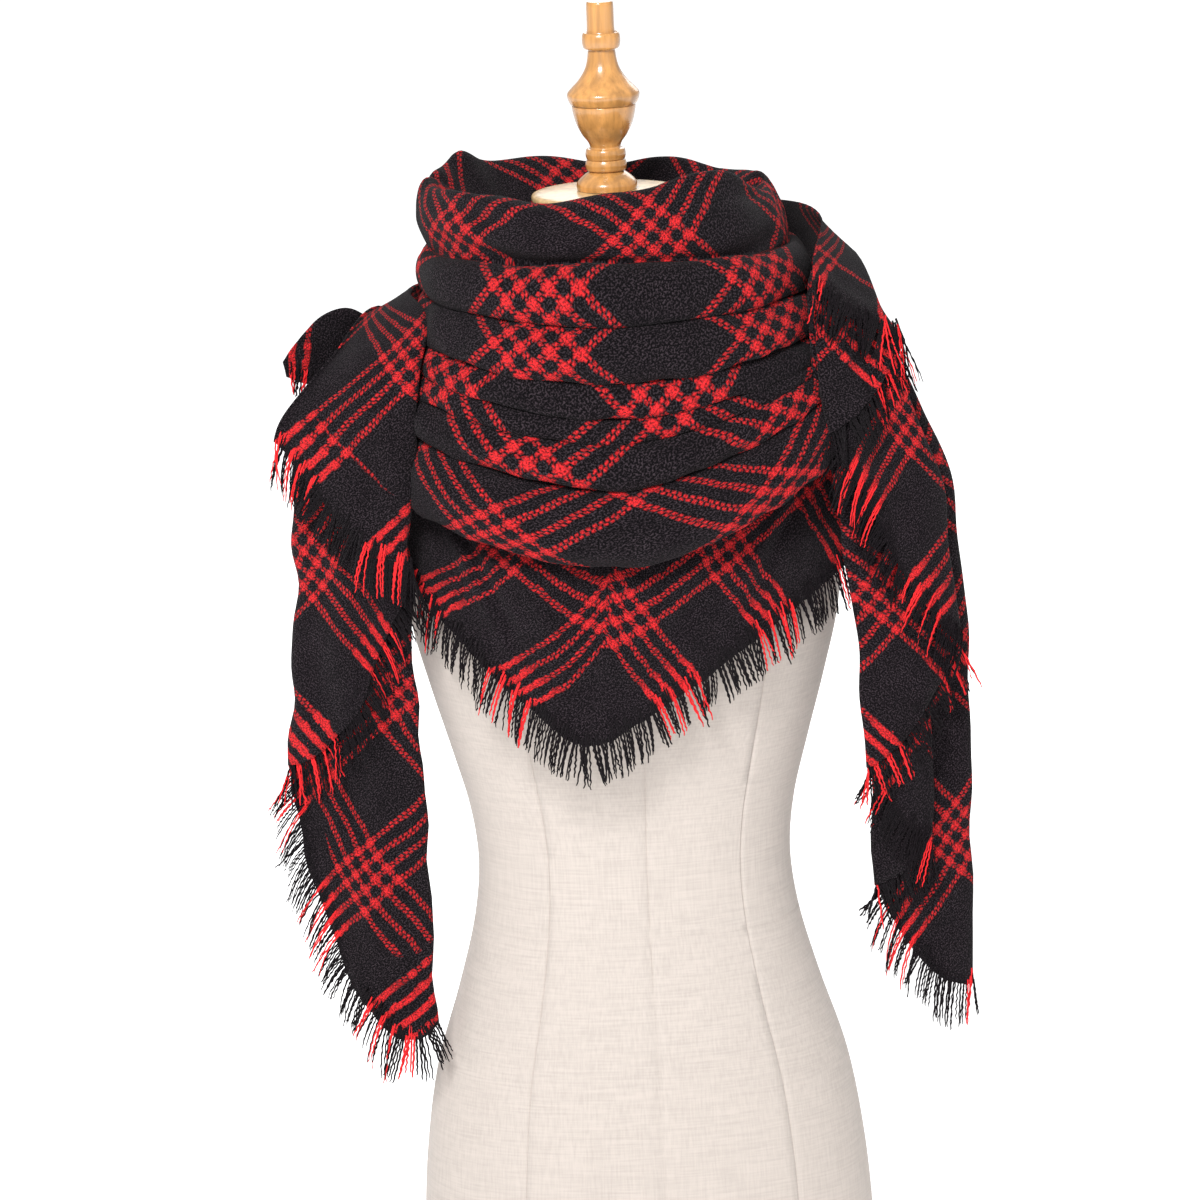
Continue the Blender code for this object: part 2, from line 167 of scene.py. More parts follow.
# The loose corner behind the left front flap: its top edge and its foot, from the shoulder out: x, y, z.
FLAP_TOP = (
    (-0.176, -0.003, 0.728),
    (-0.200, -0.011, 0.744),
    (-0.225, -0.022, 0.736),
    (-0.250, -0.031, 0.708),
)
FLAP_FOOT = (
    (-0.184, -0.002, 0.688),
    (-0.208, -0.012, 0.686),
    (-0.230, -0.022, 0.688),
    (-0.248, -0.029, 0.696),
)




class Tail:
    """One end of the scarf, hanging over a shoulder in pleats.

    side is -1 or 1, layer is how far apart the pleats lie, and brow is the number of the section where
    the cloth leaves the shoulder, counted from 0.
    sections run from behind the neck, over the shoulder and down: inner x, y and z, outer x, y and z,
    and the direction (y, z) in which the layers lie on each other.
    folds has a row for each fold line, from the layer in front to the one at the back: 0 on the inner
    edge or 1 on the outer one, the height of the hem there, then as shares of the tail's width how far
    the line keeps in from that edge and how far its foot swings out, and how far the hem bows down
    between this line and the next.
    """

    def __init__(self, side, layer, brow, names, sections, folds):
        self.side = side
        self.layer = layer
        self.brow = brow
        self.names = names
        self.sections = np.array(sections)
        self.folds = folds


LEFT_TAIL = Tail(
    side=-1,
    layer=0.0095,
    brow=4,
    names=("left_front_flap", "left_middle_fall", "left_lower_fall"),
    sections=(
        (-0.100, 0.084, 0.740, -0.104, 0.094, 0.706, 0.0, 0.0),
        (0.000, 0.108, 0.740, 0.000, 0.122, 0.652, 0.1, 0.0),
        (0.122, 0.082, 0.740, 0.140, 0.102, 0.684, 0.3, 0.3),
        (0.152, 0.006, 0.735, 0.178, 0.012, 0.718, 0.0, 0.8),
        (0.140, -0.044, 0.732, 0.210, -0.030, 0.702, -0.7, 0.5),
        (0.147, -0.070, 0.690, 0.246, -0.045, 0.664, -1.0, 0.1),
        (0.157, -0.076, 0.610, 0.246, -0.050, 0.600, -1.0, 0.0),
        (0.161, -0.068, 0.480, 0.250, -0.046, 0.480, -1.0, 0.0),
        (0.158, -0.058, 0.340, 0.262, -0.040, 0.340, -1.0, 0.0),
        (0.157, -0.052, 0.180, 0.262, -0.036, 0.180, -1.0, 0.0),
    ),
    folds=(
        (1, 0.655, 0.00, 0.12, 0.014),
        (0, 0.556, 0.00, 0.00, 0.036),
        (1, 0.400, 0.02, 0.06, 0.085),
        (0, 0.192, 0.00, 0.00, 0),
    ),
)
RIGHT_TAIL = Tail(
    side=1,
    layer=0.0064,
    brow=5,
    names=(
        "right_front_flap",
        "right_second_fall",
        "right_third_fall",
        "right_fourth_fall",
        "right_fifth_fall",
        "right_hidden_fall",
        "right_lower_fall",
    ),
    sections=(
        (-0.112, 0.050, 0.780, -0.120, 0.060, 0.752, 0.0, 0.0),
        (-0.112, 0.114, 0.790, -0.124, 0.132, 0.718, 0.0, 0.0),
        (0.000, 0.144, 0.796, 0.000, 0.154, 0.690, 0.0, 0.0),
        (0.116, 0.104, 0.782, 0.146, 0.118, 0.692, 0.2, 0.3),
        (0.160, 0.014, 0.752, 0.184, 0.018, 0.724, 0.0, 1.0),
        (0.150, -0.052, 0.742, 0.206, -0.034, 0.708, -0.8, 0.6),
        (0.152, -0.072, 0.684, 0.230, -0.046, 0.656, -1.0, 0.1),
        (0.166, -0.072, 0.600, 0.250, -0.046, 0.600, -1.0, 0.0),
        (0.178, -0.066, 0.480, 0.259, -0.044, 0.480, -1.0, 0.0),
        (0.182, -0.056, 0.340, 0.258, -0.038, 0.340, -1.0, 0.0),
        (0.180, -0.048, 0.180, 0.258, -0.034, 0.180, -1.0, 0.0),
    ),
    folds=(
        (0, 0.760, 0.00, 0.00, 0.006),
        (1, 0.716, 0.07, 0.12, 0.006),
        (0, 0.650, 0.00, 0.00, 0.022),
        (1, 0.476, 0.10, 0.00, 0.015),
        (0, 0.386, -0.05, 0.00, 0.006),
        (1, 0.318, 0.40, 0.00, 0.004),
        (0, 0.288, 0.00, 0.00, 0.020),
        (1, 0.200, 0.00, 0.00, 0),
    ),
)

# Seams of the linen cover, as places across the half width from the centre line: in front, then behind.
FRONT_SEAMS = (-0.55, 0.075, 0.67)
BACK_SEAMS = (-0.62, -0.075, 0.55)
WAIST_SEAM = 0.262
SEAM_HALF = 0.0016
SEAM_DEPTH = 0.0015
SEAM_RADIUS = 0.15  # about the body's radius, which turns SEAM_HALF into an angle
COVER_COLUMNS = 120
COVER_ROWS = 150

# Where each roll lies in the cloth: its height at its top and at its foot (metres along the cloth, 0 at
# the crossing on the point), and how far the check sits to the right there.
COLLAR_CLOTH = ((0.384, 0.032), (0.350, 0.305, 0.030))
ROLL_CLOTH = (
    (0.357, 0.305, 0.030),
    (0.288, 0.256, 0.034),
    (0.262, 0.234, 0.030),
    (0.231, 0.186, 0.028),
    (0.128, 0.038, 0.008),
)
POINT_HEIGHT = -0.110  # cloth height of the hem at the point
POINT_SHIFT = 0.008
ACROSS_REPEAT = 0.160  # one repeat of the check, measured level round the neck
DOWN_REPEAT = 0.134  # and down the front
HEM_PHASE = 0.82  # repeats from the crossing on the point to either hem
NO_HEM = 0.3  # stands for the distance to a hem that is too far off to matter


class ScarfSizes(bpy.types.PropertyGroup):
    """Sizes of the cloth's check and fringe."""

    repeat: bpy.props.FloatProperty(
        name="Repeat", description="One repeat of the check", default=0.105, unit="LENGTH"
    )
    pitch: bpy.props.FloatProperty(
        name="Line pitch", description="From one red line of a group to the next", default=0.013, unit="LENGTH"
    )
    row_width: bpy.props.FloatProperty(
        name="Row width", description="Width of one row of dashes", default=0.0019, unit="LENGTH"
    )
    dash: bpy.props.FloatProperty(
        name="Dash", description="From one dash of a row to the next", default=0.0042, unit="LENGTH"
    )
    yarn_gap: bpy.props.FloatProperty(
        name="Yarn gap", description="From one yarn of the fringe to the next", default=0.0018, unit="LENGTH"
    )
    yarn_width: bpy.props.FloatProperty(
        name="Yarn width", description="Thickness of a fringe yarn", default=0.0016, unit="LENGTH"
    )
    reach: bpy.props.FloatProperty(
        name="Fringe reach", description="Length of the fringe past its hem", default=0.030, unit="LENGTH"
    )


class ScarfColours(bpy.types.PropertyGroup):
    """Colours of the scarf, the form and the stage."""

    ground: bpy.props.FloatVectorProperty(
        name="Ground", description="Dark wool", subtype="COLOR", default=(0.0024, 0.0017, 0.0024)
    )
    ground_light: bpy.props.FloatVectorProperty(
        name="Ground fleck", description="Light fleck of the dark wool", subtype="COLOR", default=(0.040, 0.030, 0.036)
    )
    red: bpy.props.FloatVectorProperty(
        name="Red", description="Red wool", subtype="COLOR", default=(0.74, 0.024, 0.028)
    )
    red_dark: bpy.props.FloatVectorProperty(
        name="Red shade", description="Red wool under the dark nap", subtype="COLOR", default=(0.43, 0.014, 0.017)
    )
    linen: bpy.props.FloatVectorProperty(
        name="Linen", description="Cover of the form", subtype="COLOR", default=(0.435, 0.388, 0.354)
    )
    honey: bpy.props.FloatVectorProperty(
        name="Honey wood", description="Finial", subtype="COLOR", default=(0.54, 0.26, 0.075)
    )
    pale_wood: bpy.props.FloatVectorProperty(
        name="Pale wood", description="Neck cap", subtype="COLOR", default=(0.62, 0.42, 0.20)
    )
    floor: bpy.props.FloatVectorProperty(
        name="Floor", description="Studio floor", subtype="COLOR", default=(0.95, 0.95, 0.95)
    )


# ---------------------------------------------------------------- shapes


def along(rows, where):
    """The rows of a table read as a Catmull-Rom curve, at where = 0 on its first row to 1 on its last."""
    rows = np.asarray(rows, float)
    last = len(rows) - 1
    spot = np.clip(np.asarray(where, float), 0, 1) * last
    row = np.minimum(spot.astype(int), last - 1)
    f = (spot - row)[..., None]
    before = rows[np.maximum(row - 1, 0)]
    here = rows[row]
    there = rows[row + 1]
    after = rows[np.minimum(row + 2, last)]
    bend = 2 * before - 5 * here + 4 * there - after
    twist = 3 * here - before - 3 * there + after
    return 0.5 * (2 * here + (there - before) * f + bend * f**2 + twist * f**3)


def unit(vectors):
    """Vectors divided by their length."""
    return vectors / np.maximum(np.linalg.norm(vectors, axis=-1, keepdims=True), 1e-9)


def arc(points, axis):
    """Length run along one axis of a grid of points, from 0 at its start."""
    step = np.linalg.norm(np.diff(points, axis=axis), axis=-1)
    start = np.zeros_like(np.take(step, [0], axis=axis))
    return np.concatenate([start, np.cumsum(step, axis=axis)], axis=axis)


def facing(points, closed=False):
    """Outward normals of a grid: the cross product of the steps down its rows and across its columns."""
    if closed:
        points = np.concatenate([points[:, -3:-1], points, points[:, 1:3]], axis=1)
    normal = unit(np.cross(np.gradient(points, axis=0), np.gradient(points, axis=1)))
    return normal[:, 2:-2] if closed else normal


def mesh_object(name, verts, faces, look, sharp=None):
    """A smooth-shaded mesh object in the scene, riding on the form. Edges past sharp degrees stay sharp."""
    mesh = bpy.data.meshes.new(name)
    mesh.from_pydata(verts.tolist(), [], faces)
    mesh.materials.append(look)
    mesh.shade_smooth()
    if sharp:
        mesh.set_sharp_from_angle(angle=math.radians(sharp))
    made = bpy.data.objects.new(name, mesh)
    bpy.context.scene.collection.objects.link(made)
    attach(made, "root")
    return made


def quads(grid):
    """Corner numbers of the faces of a grid of numbers: down, across, up."""
    return np.stack([grid[:-1, :-1], grid[1:, :-1], grid[1:, 1:], grid[:-1, 1:]], -1)


def sheet(name, points, cloth, hem, look, weld=None, keep=None, offset=-1.0):
    """A cloth sheet of points[row, column] with a thin wall.

    cloth holds the place of each point in the cloth's two directions and hem its distance from the two
    hems that those directions run into, in metres. weld gives the column whose points each column
    shares, and keep the faces that are wanted.
    """
    rows, columns = points.shape[:2]
    weld = np.arange(columns) if weld is None else np.asarray(weld)
    numbers = np.arange(rows)[:, None] * columns
    faces = quads(numbers + weld[None])
    loops = quads(numbers + np.arange(columns)[None])
    keep = np.ones(faces.shape[:2], bool) if keep is None else keep
    faces = faces[keep]
    loops = loops[keep]
    used, packed = np.unique(faces, return_inverse=True)
    made = mesh_object(name, points.reshape(-1, 3)[used], packed.reshape(-1, 4).tolist(), look)
    for layer, values in (("cloth", cloth), ("hem", hem)):
        uv = made.data.uv_layers.new(name=layer)
        uv.data.foreach_set("uv", values.reshape(-1, 2)[loops.ravel()].astype(np.float32).ravel())
    wall = made.modifiers.new("wall", "SOLIDIFY")
    wall.thickness = CLOTH
    wall.offset = offset
    wall.use_rim = True
    return made


def ripples(a, b, seed, size, count=14):
    """Soft unevenness of a cloth: a sum of cosines over two directions, of mixed lengths and turns.

    size is the longest wavelength in metres. The sum lies within about -1 and 1.
    """
    rng = np.random.default_rng(seed)
    total = np.zeros_like(a)
    for k in range(count):
        wave = size * rng.uniform(0.35, 1.0)
        turn = rng.uniform(0, math.pi)
        start = rng.uniform(0, 2 * math.pi)
        total = total + np.cos(2 * math.pi * (a * math.cos(turn) + b * math.sin(turn)) / wave + start)
    return total / math.sqrt(count) / 1.4


def crease(a, b, path, width, depth, ridge=0.5):
    """One crease: a trough along a path of points (a, b) with a soft ridge beside it.

    The push is -depth * exp(-(d / width)^2) with d the distance from the path, plus ridge * depth *
    exp(-((d - 2 width) / width)^2) above it, and both fade to nothing at the path's ends.
    """
    line = along(path, np.linspace(0, 1, 25))
    start = line[:-1]
    step = line[1:] - start
    spot = np.stack([a, b], -1)[..., None, :] - start
    share = np.clip((spot * step).sum(-1) / (step * step).sum(-1), 0, 1)
    miss = spot - share[..., None] * step
    gap = np.linalg.norm(miss, axis=-1)
    nearest = gap.argmin(-1)
    pick = nearest[..., None]
    gap = np.take_along_axis(gap, pick, -1)[..., 0]
    where = (nearest + np.take_along_axis(share, pick, -1)[..., 0]) / len(step)
    side = np.take_along_axis(step[..., 0] * miss[..., 1] - step[..., 1] * miss[..., 0], pick, -1)[..., 0]
    fade = np.sin(math.pi * np.clip(where, 0, 1)) ** 0.6
    signed = gap * np.sign(side)
    return fade * depth * (
        -np.exp(-((gap / width) ** 2)) + ridge * np.exp(-(((signed - 2 * width) / width) ** 2))
    )


def creases(a, b, rows):
    """The pushes of all the creases of a table, added up."""
    return sum(crease(a, b, *row) for row in rows)


# ---------------------------------------------------------------- materials


class Nodes:
    """Adds nodes to a new material and links them, so that a pattern reads as a formula."""

    def __init__(self, name, roughness):
        self.made = bpy.data.materials.new(name)
        self.made.use_nodes = True
        self.tree = self.made.node_tree
        self.shader = self.tree.nodes["Principled BSDF"]
        self.shader.inputs["Roughness"].default_value = roughness

    def feed(self, socket, value):
        """Link a socket to another node's output, or set it to a number."""
        if isinstance(value, bpy.types.NodeSocket):
            self.tree.links.new(value, socket)
        elif value is not None:
            socket.default_value = value

    def math(self, operation, a, b=None, c=None):
        """One Math node."""
        node = self.tree.nodes.new("ShaderNodeMath")
        node.operation = operation
        for socket, value in zip(node.inputs, (a, b, c)):
            self.feed(socket, value)
        return node.outputs[0]

    def inside(self, distance, half, soft):
        """1 where distance is under half and 0 past it, over a soft edge."""
        edge = self.math("SUBTRACT", half, distance)
        scaled = self.math("MULTIPLY_ADD", edge, 1 / soft, 0.5)
        node = self.tree.nodes.new("ShaderNodeClamp")
        self.feed(node.inputs["Value"], scaled)
        return node.outputs[0]

    def split(self, layer):
        """The two numbers of a UV layer, and the layer's own vector."""
        source = self.tree.nodes.new("ShaderNodeUVMap")
        source.uv_map = layer
        parts = self.tree.nodes.new("ShaderNodeSeparateXYZ")
        self.feed(parts.inputs[0], source.outputs[0])
        return parts.outputs[0], parts.outputs[1], source.outputs[0]

    def place(self):
        """Object coordinates."""
        return self.tree.nodes.new("ShaderNodeTexCoord").outputs["Object"]

    def noise(self, vector, scale, detail=2.0, stretch=(1, 1, 1)):
        """Noise from 0 to 1 over a vector stretched by three factors."""
        mapping = self.tree.nodes.new("ShaderNodeMapping")
        self.feed(mapping.inputs["Vector"], vector)
        mapping.inputs["Scale"].default_value = stretch
        node = self.tree.nodes.new("ShaderNodeTexNoise")
        self.feed(node.inputs["Vector"], mapping.outputs[0])
        node.inputs["Scale"].default_value = scale
        node.inputs["Detail"].default_value = detail
        return node.outputs["Fac"]

    def mix(self, factor, a, b):
        """A colour between two others."""
        node = self.tree.nodes.new("ShaderNodeMix")
        node.data_type = "RGBA"
        self.feed(node.inputs["Factor"], factor)
        for socket, value in ((node.inputs["A"], a), (node.inputs["B"], b)):
            self.feed(socket, (*value, 1) if isinstance(value, tuple) else value)
        return node.outputs["Result"]

    def spread(self, value, low, high):
        """value from low to high brought to 0 to 1."""
        node = self.tree.nodes.new("ShaderNodeMapRange")
        self.feed(node.inputs["Value"], value)
        node.inputs["From Min"].default_value = low
        node.inputs["From Max"].default_value = high
        return node.outputs[0]

    def cloth(self, sheen, specular):
        """The sheen and the weak shine of cloth."""
        self.shader.inputs["Sheen Weight"].default_value = sheen
        self.shader.inputs["Sheen Roughness"].default_value = 0.5
        self.shader.inputs["Specular IOR Level"].default_value = specular

    def bump(self, height, distance, strength=1.0):
        """Bump of this height in metres at most."""
        node = self.tree.nodes.new("ShaderNodeBump")
        node.inputs["Distance"].default_value = distance
        node.inputs["Strength"].default_value = strength
        self.feed(node.inputs["Height"], height)
        self.feed(self.shader.inputs["Normal"], node.outputs[0])


def scaled(colour, factor):
    """A colour made lighter or darker."""
    return tuple(min(1.0, factor * part) for part in colour)


# The check, in metres unless it says shares.
ROW_APART = 0.00125  # from the middle of a red line to the middle of each of its two rows
ROW_SOFT = 0.0011  # width of a row's soft edge
ROW_WAVER = 0.0036  # how far a line strays from straight
DASH_SLANT = 0.45  # shares of a dash
DASH_HALF = 0.31
DASH_SOFT = 0.20
DASH_COVER = 0.85
PLAIN_BORDER = 0.040  # no line runs beside a hem nearer than this
FLOAT_REACH = 0.024  # the last of a line is one thick float this far in from the hem it runs into
FLOAT_START = 0.010
FLOAT_HALF = 0.0026
FLOAT_SOFT = 0.0009
FLOAT_WAVER = 0.0060
KNOT_HALF = 0.0031  # a line's half width where it crosses another
KNOT_SOFT = 0.0014
THREAD = 0.00105  # from one thread of the weave to the next


def check_lines(net, across, run, to_hem, beside, waver, sizes):
    """Where the red lines of one direction lie, and how near their middle.

    Each group has four lines a pitch apart. A line is two rows of slanted dashes, one row half a dash
    ahead of the other. Close to the hem that the line runs into it is one thick, wavy float.
    """
    across = net.math("MULTIPLY_ADD", waver, ROW_WAVER, across)
    half = sizes.repeat / 2
    local = net.math("ABSOLUTE", net.math("WRAP", across, half, -half))
    side = net.math("SUBTRACT", net.math("ABSOLUTE", net.math("SUBTRACT", local, sizes.pitch)), sizes.pitch / 2)
    near = net.math("ABSOLUTE", side)
    off_row = net.math("ABSOLUTE", net.math("SUBTRACT", near, ROW_APART))
    row = net.inside(off_row, sizes.row_width / 2, ROW_SOFT)
    ahead = net.math("MULTIPLY", net.math("GREATER_THAN", side, 0.0), 0.5)
    slant = net.math("MULTIPLY_ADD", side, DASH_SLANT / sizes.dash, ahead)
    phase = net.math("FRACT", net.math("MULTIPLY_ADD", run, 1 / sizes.dash, slant))
    dash = net.inside(net.math("ABSOLUTE", net.math("SUBTRACT", phase, 0.5)), DASH_HALF, DASH_SOFT)
    clear = net.math("SUBTRACT", 1.0, net.inside(beside, PLAIN_BORDER, 0.002))
    woven = net.math("MULTIPLY", net.math("MULTIPLY", row, dash), clear)
    wavy = net.math("ABSOLUTE", net.math("MULTIPLY_ADD", waver, FLOAT_WAVER, side))
    close = net.math("MULTIPLY", net.inside(to_hem, FLOAT_REACH, FLOAT_START), clear)
    float_end = net.math("MULTIPLY", net.inside(wavy, FLOAT_HALF, FLOAT_SOFT), close)
    lines = net.math("MAXIMUM", net.math("MULTIPLY", woven, DASH_COVER), float_end)
    return lines, net.inside(near, KNOT_HALF, KNOT_SOFT)


def wool_look(name, sizes, colours):
    """Brushed wool with the red check: lines along both of the cloth's directions, solid where they cross."""
    net = Nodes(name, 0.95)
    u, v, uv = net.split("cloth")
    to_u, to_v, _ = net.split("hem")
    fine = net.math("MULTIPLY", net.math("SUBTRACT", net.noise(uv, 380, 2), 0.5), 0.55)
    waver = net.math("ADD", net.math("SUBTRACT", net.noise(uv, 75, 2), 0.5), fine)
    waver_v = net.math("ADD", net.math("SUBTRACT", net.noise(uv, 68, 2, (1, 1.1, 1)), 0.5), fine)
    along_v, near_u = check_lines(net, u, v, to_v, to_u, waver, sizes)
    along_u, near_v = check_lines(net, v, u, to_u, to_v, waver_v, sizes)
    knot = net.math("MULTIPLY", near_u, near_v)
    lines = net.math("MAXIMUM", net.math("MAXIMUM", along_u, along_v), knot)
    fluff = net.noise(uv, 820, 2)
    cover = net.spread(net.noise(uv, 760, 2), 0.36, 0.56)
    red = net.math("MULTIPLY", lines, net.math("MULTIPLY_ADD", cover, 0.80, 0.20))
    fleck = net.spread(fluff, 0.48, 0.63)
    patch = net.spread(net.noise(uv, 60, 2), 0.25, 0.8)
    fleck = net.math("MULTIPLY", fleck, net.math("MULTIPLY_ADD", patch, 0.5, 0.5))
    ground = net.mix(fleck, tuple(colours.ground), tuple(colours.ground_light))
    bright = net.spread(net.noise(uv, 700, 2), 0.34, 0.60)
    dyed = net.mix(bright, tuple(colours.red_dark), tuple(colours.red))
    net.feed(net.shader.inputs["Base Color"], net.mix(red, ground, dyed))
    weave_u = net.math("PINGPONG", u, THREAD)
    weave_v = net.math("PINGPONG", v, THREAD)
    weave = net.math("MULTIPLY", net.math("ADD", weave_u, weave_v), 200)
    height = net.math("ADD", fluff, net.math("MULTIPLY", weave, 0.5))
    height = net.math("ADD", height, net.math("MULTIPLY", red, 0.45))
    height = net.math("MULTIPLY_ADD", net.noise(uv, 260, 2), 0.5, height)
    net.bump(height, CLOTH)
    net.cloth(0.03, 0.06)
    return net.made


def yarn_look(name, colours):
    """Loose wool yarn, dark or red as each yarn was dyed."""
    net = Nodes(name, 0.95)
    dye = net.tree.nodes.new("ShaderNodeAttribute")
    dye.attribute_name = "dye"
    grain = net.noise(net.place(), 1500, 2)
    fleck = net.spread(grain, 0.4, 0.75)
    dark = net.mix(fleck, tuple(colours.ground), scaled(colours.ground_light, 0.45))
    red = net.mix(net.spread(grain, 0.3, 0.6), tuple(colours.red_dark), tuple(colours.red))
    net.feed(net.shader.inputs["Base Color"], net.mix(dye.outputs["Fac"], dark, red))
    net.bump(grain, 0.0003, 0.6)
    net.cloth(0.03, 0.06)
    return net.made


def linen_look(name, colours):
    """Fine woven linen: crossing threads of uneven thickness and tone."""
    net = Nodes(name, 0.85)
    place = net.place()
    warp = net.noise(place, 700, 2, (1.0, 1.0, 0.05))
    weft = net.noise(place, 700, 2, (0.05, 0.05, 1.0))
    slub = net.spread(net.noise(place, 260, 2, (0.10, 0.10, 1.6)), 0.55, 0.80)
    broad = net.noise(place, 9, 2)
    thread = net.math("ADD", net.math("MULTIPLY", warp, 0.5), net.math("MULTIPLY", weft, 0.5))
    tone = net.mix(net.spread(thread, 0.35, 0.62), scaled(colours.linen, 0.88), scaled(colours.linen, 1.05))
    tone = net.mix(net.math("MULTIPLY", slub, 0.35), tone, scaled(colours.linen, 0.84))
    tone = net.mix(net.math("MULTIPLY", net.spread(broad, 0.35, 0.75), 0.25), tone, tuple(colours.linen))
    net.feed(net.shader.inputs["Base Color"], tone)
    net.bump(thread, 0.0004, 0.5)
    net.cloth(0.08, 0.25)
    return net.made


def wood_look(name, colour, roughness, coat):
    """Turned wood with its grain up the axis, under a clear coat."""
    net = Nodes(name, roughness)
    place = net.place()
    grain = net.noise(place, 150, 3, (1.0, 1.0, 0.06))
    pores = net.spread(net.noise(place, 900, 2, (1.0, 1.0, 0.04)), 0.60, 0.72)
    tone = net.mix(net.spread(grain, 0.35, 0.65), scaled(colour, 0.66), scaled(colour, 1.10))
    tone = net.mix(net.math("MULTIPLY", pores, 0.35), tone, scaled(colour, 0.45))
    net.feed(net.shader.inputs["Base Color"], tone)
    net.bump(grain, 0.0002, 0.2)
    net.shader.inputs["Coat Weight"].default_value = coat
    net.shader.inputs["Coat Roughness"].default_value = 0.12
    return net.made


# ---------------------------------------------------------------- the form


def turned(name, profile, sides, look):
    """A profile of heights and radii carried round the Z axis, closed at both ends."""
    profile = np.asarray(profile, float)
    turn = np.linspace(0, 2 * math.pi, sides, endpoint=False)
    z = profile[:, :1] + 0 * turn
    points = np.stack([profile[:, 1:] * np.cos(turn), profile[:, 1:] * np.sin(turn), z], -1)
    return capped(name, points, look)


def capped(name, rings, look):
    """A closed solid of rings[row, column], with a flat end on its first and last ring."""
    rows, sides = rings.shape[:2]
    ring = np.arange(rows * sides).reshape(rows, sides)
    ring = np.concatenate([ring, ring[:, :1]], 1)
    walls = quads(ring)[..., [0, 3, 2, 1]].reshape(-1, 4)
    low = np.full(sides, rows * sides)
    bottom = np.stack([low, ring[0, 1:], ring[0, :-1]], -1)
    top = np.stack([low + 1, ring[-1, :-1], ring[-1, 1:]], -1)
    verts = np.concatenate([rings.reshape(-1, 3), rings[[0, -1]].mean(1)])
    return mesh_object(name, verts, walls.tolist() + bottom.tolist() + top.tolist(), look, sharp=60)


def squared(wave, power):
    """A sine or cosine raised to a power, with its sign kept."""
    return np.sign(wave) * np.abs(wave) ** power


def cover_points():
    """The linen body: squared ovals between the sections of TORSO, pushed in along each seam.

    A seam is a groove of three columns, or of three rows at the waist. The even columns and rows that
    lie too close to it are left out.
    """
    power = 2 / TORSO_SQUARENESS
    before, behind = (np.arccos(squared(np.array(places), 1 / power)) for places in (FRONT_SEAMS, BACK_SEAMS))
    seams = np.mod(np.concatenate([-before, behind]), 2 * math.pi)
    half = SEAM_HALF / SEAM_RADIUS
    even = np.linspace(0, 2 * math.pi, COVER_COLUMNS, endpoint=False)
    apart = np.abs(np.mod(even[:, None] - seams + math.pi, 2 * math.pi) - math.pi).min(1)
    even = even[apart > 1.6 * half]
    turn = np.concatenate([even, (seams[:, None] + np.array([-half, 0, half])).ravel()])
    depth = np.concatenate([0 * even, np.tile([0, SEAM_DEPTH, 0], len(seams))])
    order = np.argsort(turn)
    turn = turn[order]
    depth = depth[order]
    where = np.linspace(0, 1, COVER_ROWS)
    heights = along(TORSO, where)[:, 0]
    lines = np.interp(WAIST_SEAM + np.array([-SEAM_HALF, 0, SEAM_HALF]), heights, where)
    where = np.sort(np.concatenate([where[np.abs(where - lines[1]) > 1.4 * (lines[2] - lines[1])], lines]))
    z, half_width, front, back = (column[:, None] for column in along(TORSO, where).T)
    groove = np.where(np.abs(z - WAIST_SEAM) < 0.25 * SEAM_HALF, 0.5 * SEAM_DEPTH, 0)
    across = squared(np.cos(turn), power)
    deep = squared(np.sin(turn), power)
    reach = 1 - np.maximum(depth, groove) / half_width
    y = np.where(deep > 0, back * deep, front * deep)
    return np.stack([half_width * across * reach, y * reach, z + 0 * across], -1)


class SCARF_OT_form(bpy.types.Operator):
    """Make the dress form: its linen cover, the neck cap and the turned finial."""

    bl_idname = "scarf.form"
    bl_label = "Dress form"

    def execute(self, context):
        """Build the three pieces."""
        colours = context.scene.scarf_colours
        cover = capped("linen_cover", cover_points(), linen_look("linen", colours))
        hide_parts("form_torso")
        radius, low, high = CAP_RADIUS, CAP_BOTTOM, CAP_TOP
        profile = (
            (low, radius - 0.0015),
            (low + 0.0004, radius - 0.0005),
            (low + 0.0012, radius),
            (high - 0.0024, radius),
            (high - 0.0010, radius - 0.0006),
            (high - 0.0002, radius - 0.0024),
            (high, 0.050),
            (high + 0.5 * CAP_DOME, 0.040),
            (high + CAP_DOME, 0.025),
        )
        cap = turned("neck_cap", profile, 96, wood_look("pale_wood", colours.pale_wood, 0.35, 0.25))
        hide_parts("form_neck_cap")
        base = CAP_TOP + CAP_DOME + 0.0003
        rows = along(FINIAL, np.linspace(0, 1, 240))
        rows[:, 0] += base
        finial = turned("finial", rows, 72, wood_look("honey_wood", colours.honey, 0.28, 0.6))
        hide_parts("form_finial")
        return {"FINISHED"}


# ---------------------------------------------------------------- fringe


def yarn_roots(hem, fall, out, place, to_gap, rng):
    """Where the yarns of a hem start, spaced along it with small differences.

    hem, fall, out and place hold, for each point of the hem, where it is, which way the cloth hangs
    there, its normal, and its place along the hem in the cloth's own direction.
    """
    length = arc(hem, 0)
    count = int(length[-1] / to_gap)
    spots = (np.arange(count) + 0.5 + rng.uniform(-0.35, 0.35, count)) * length[-1] / count

    def read(values):
        return np.stack([np.interp(spots, length, column) for column in values.T], -1)

    run = unit(np.gradient(hem, axis=0))
    return read(hem), unit(read(fall)), unit(read(out)), unit(read(run)), np.interp(spots, length, place), spots


BUNCH = 0.0075  # about the width of a bunch of yarns
YARN_STEPS = 15  # rings along a yarn


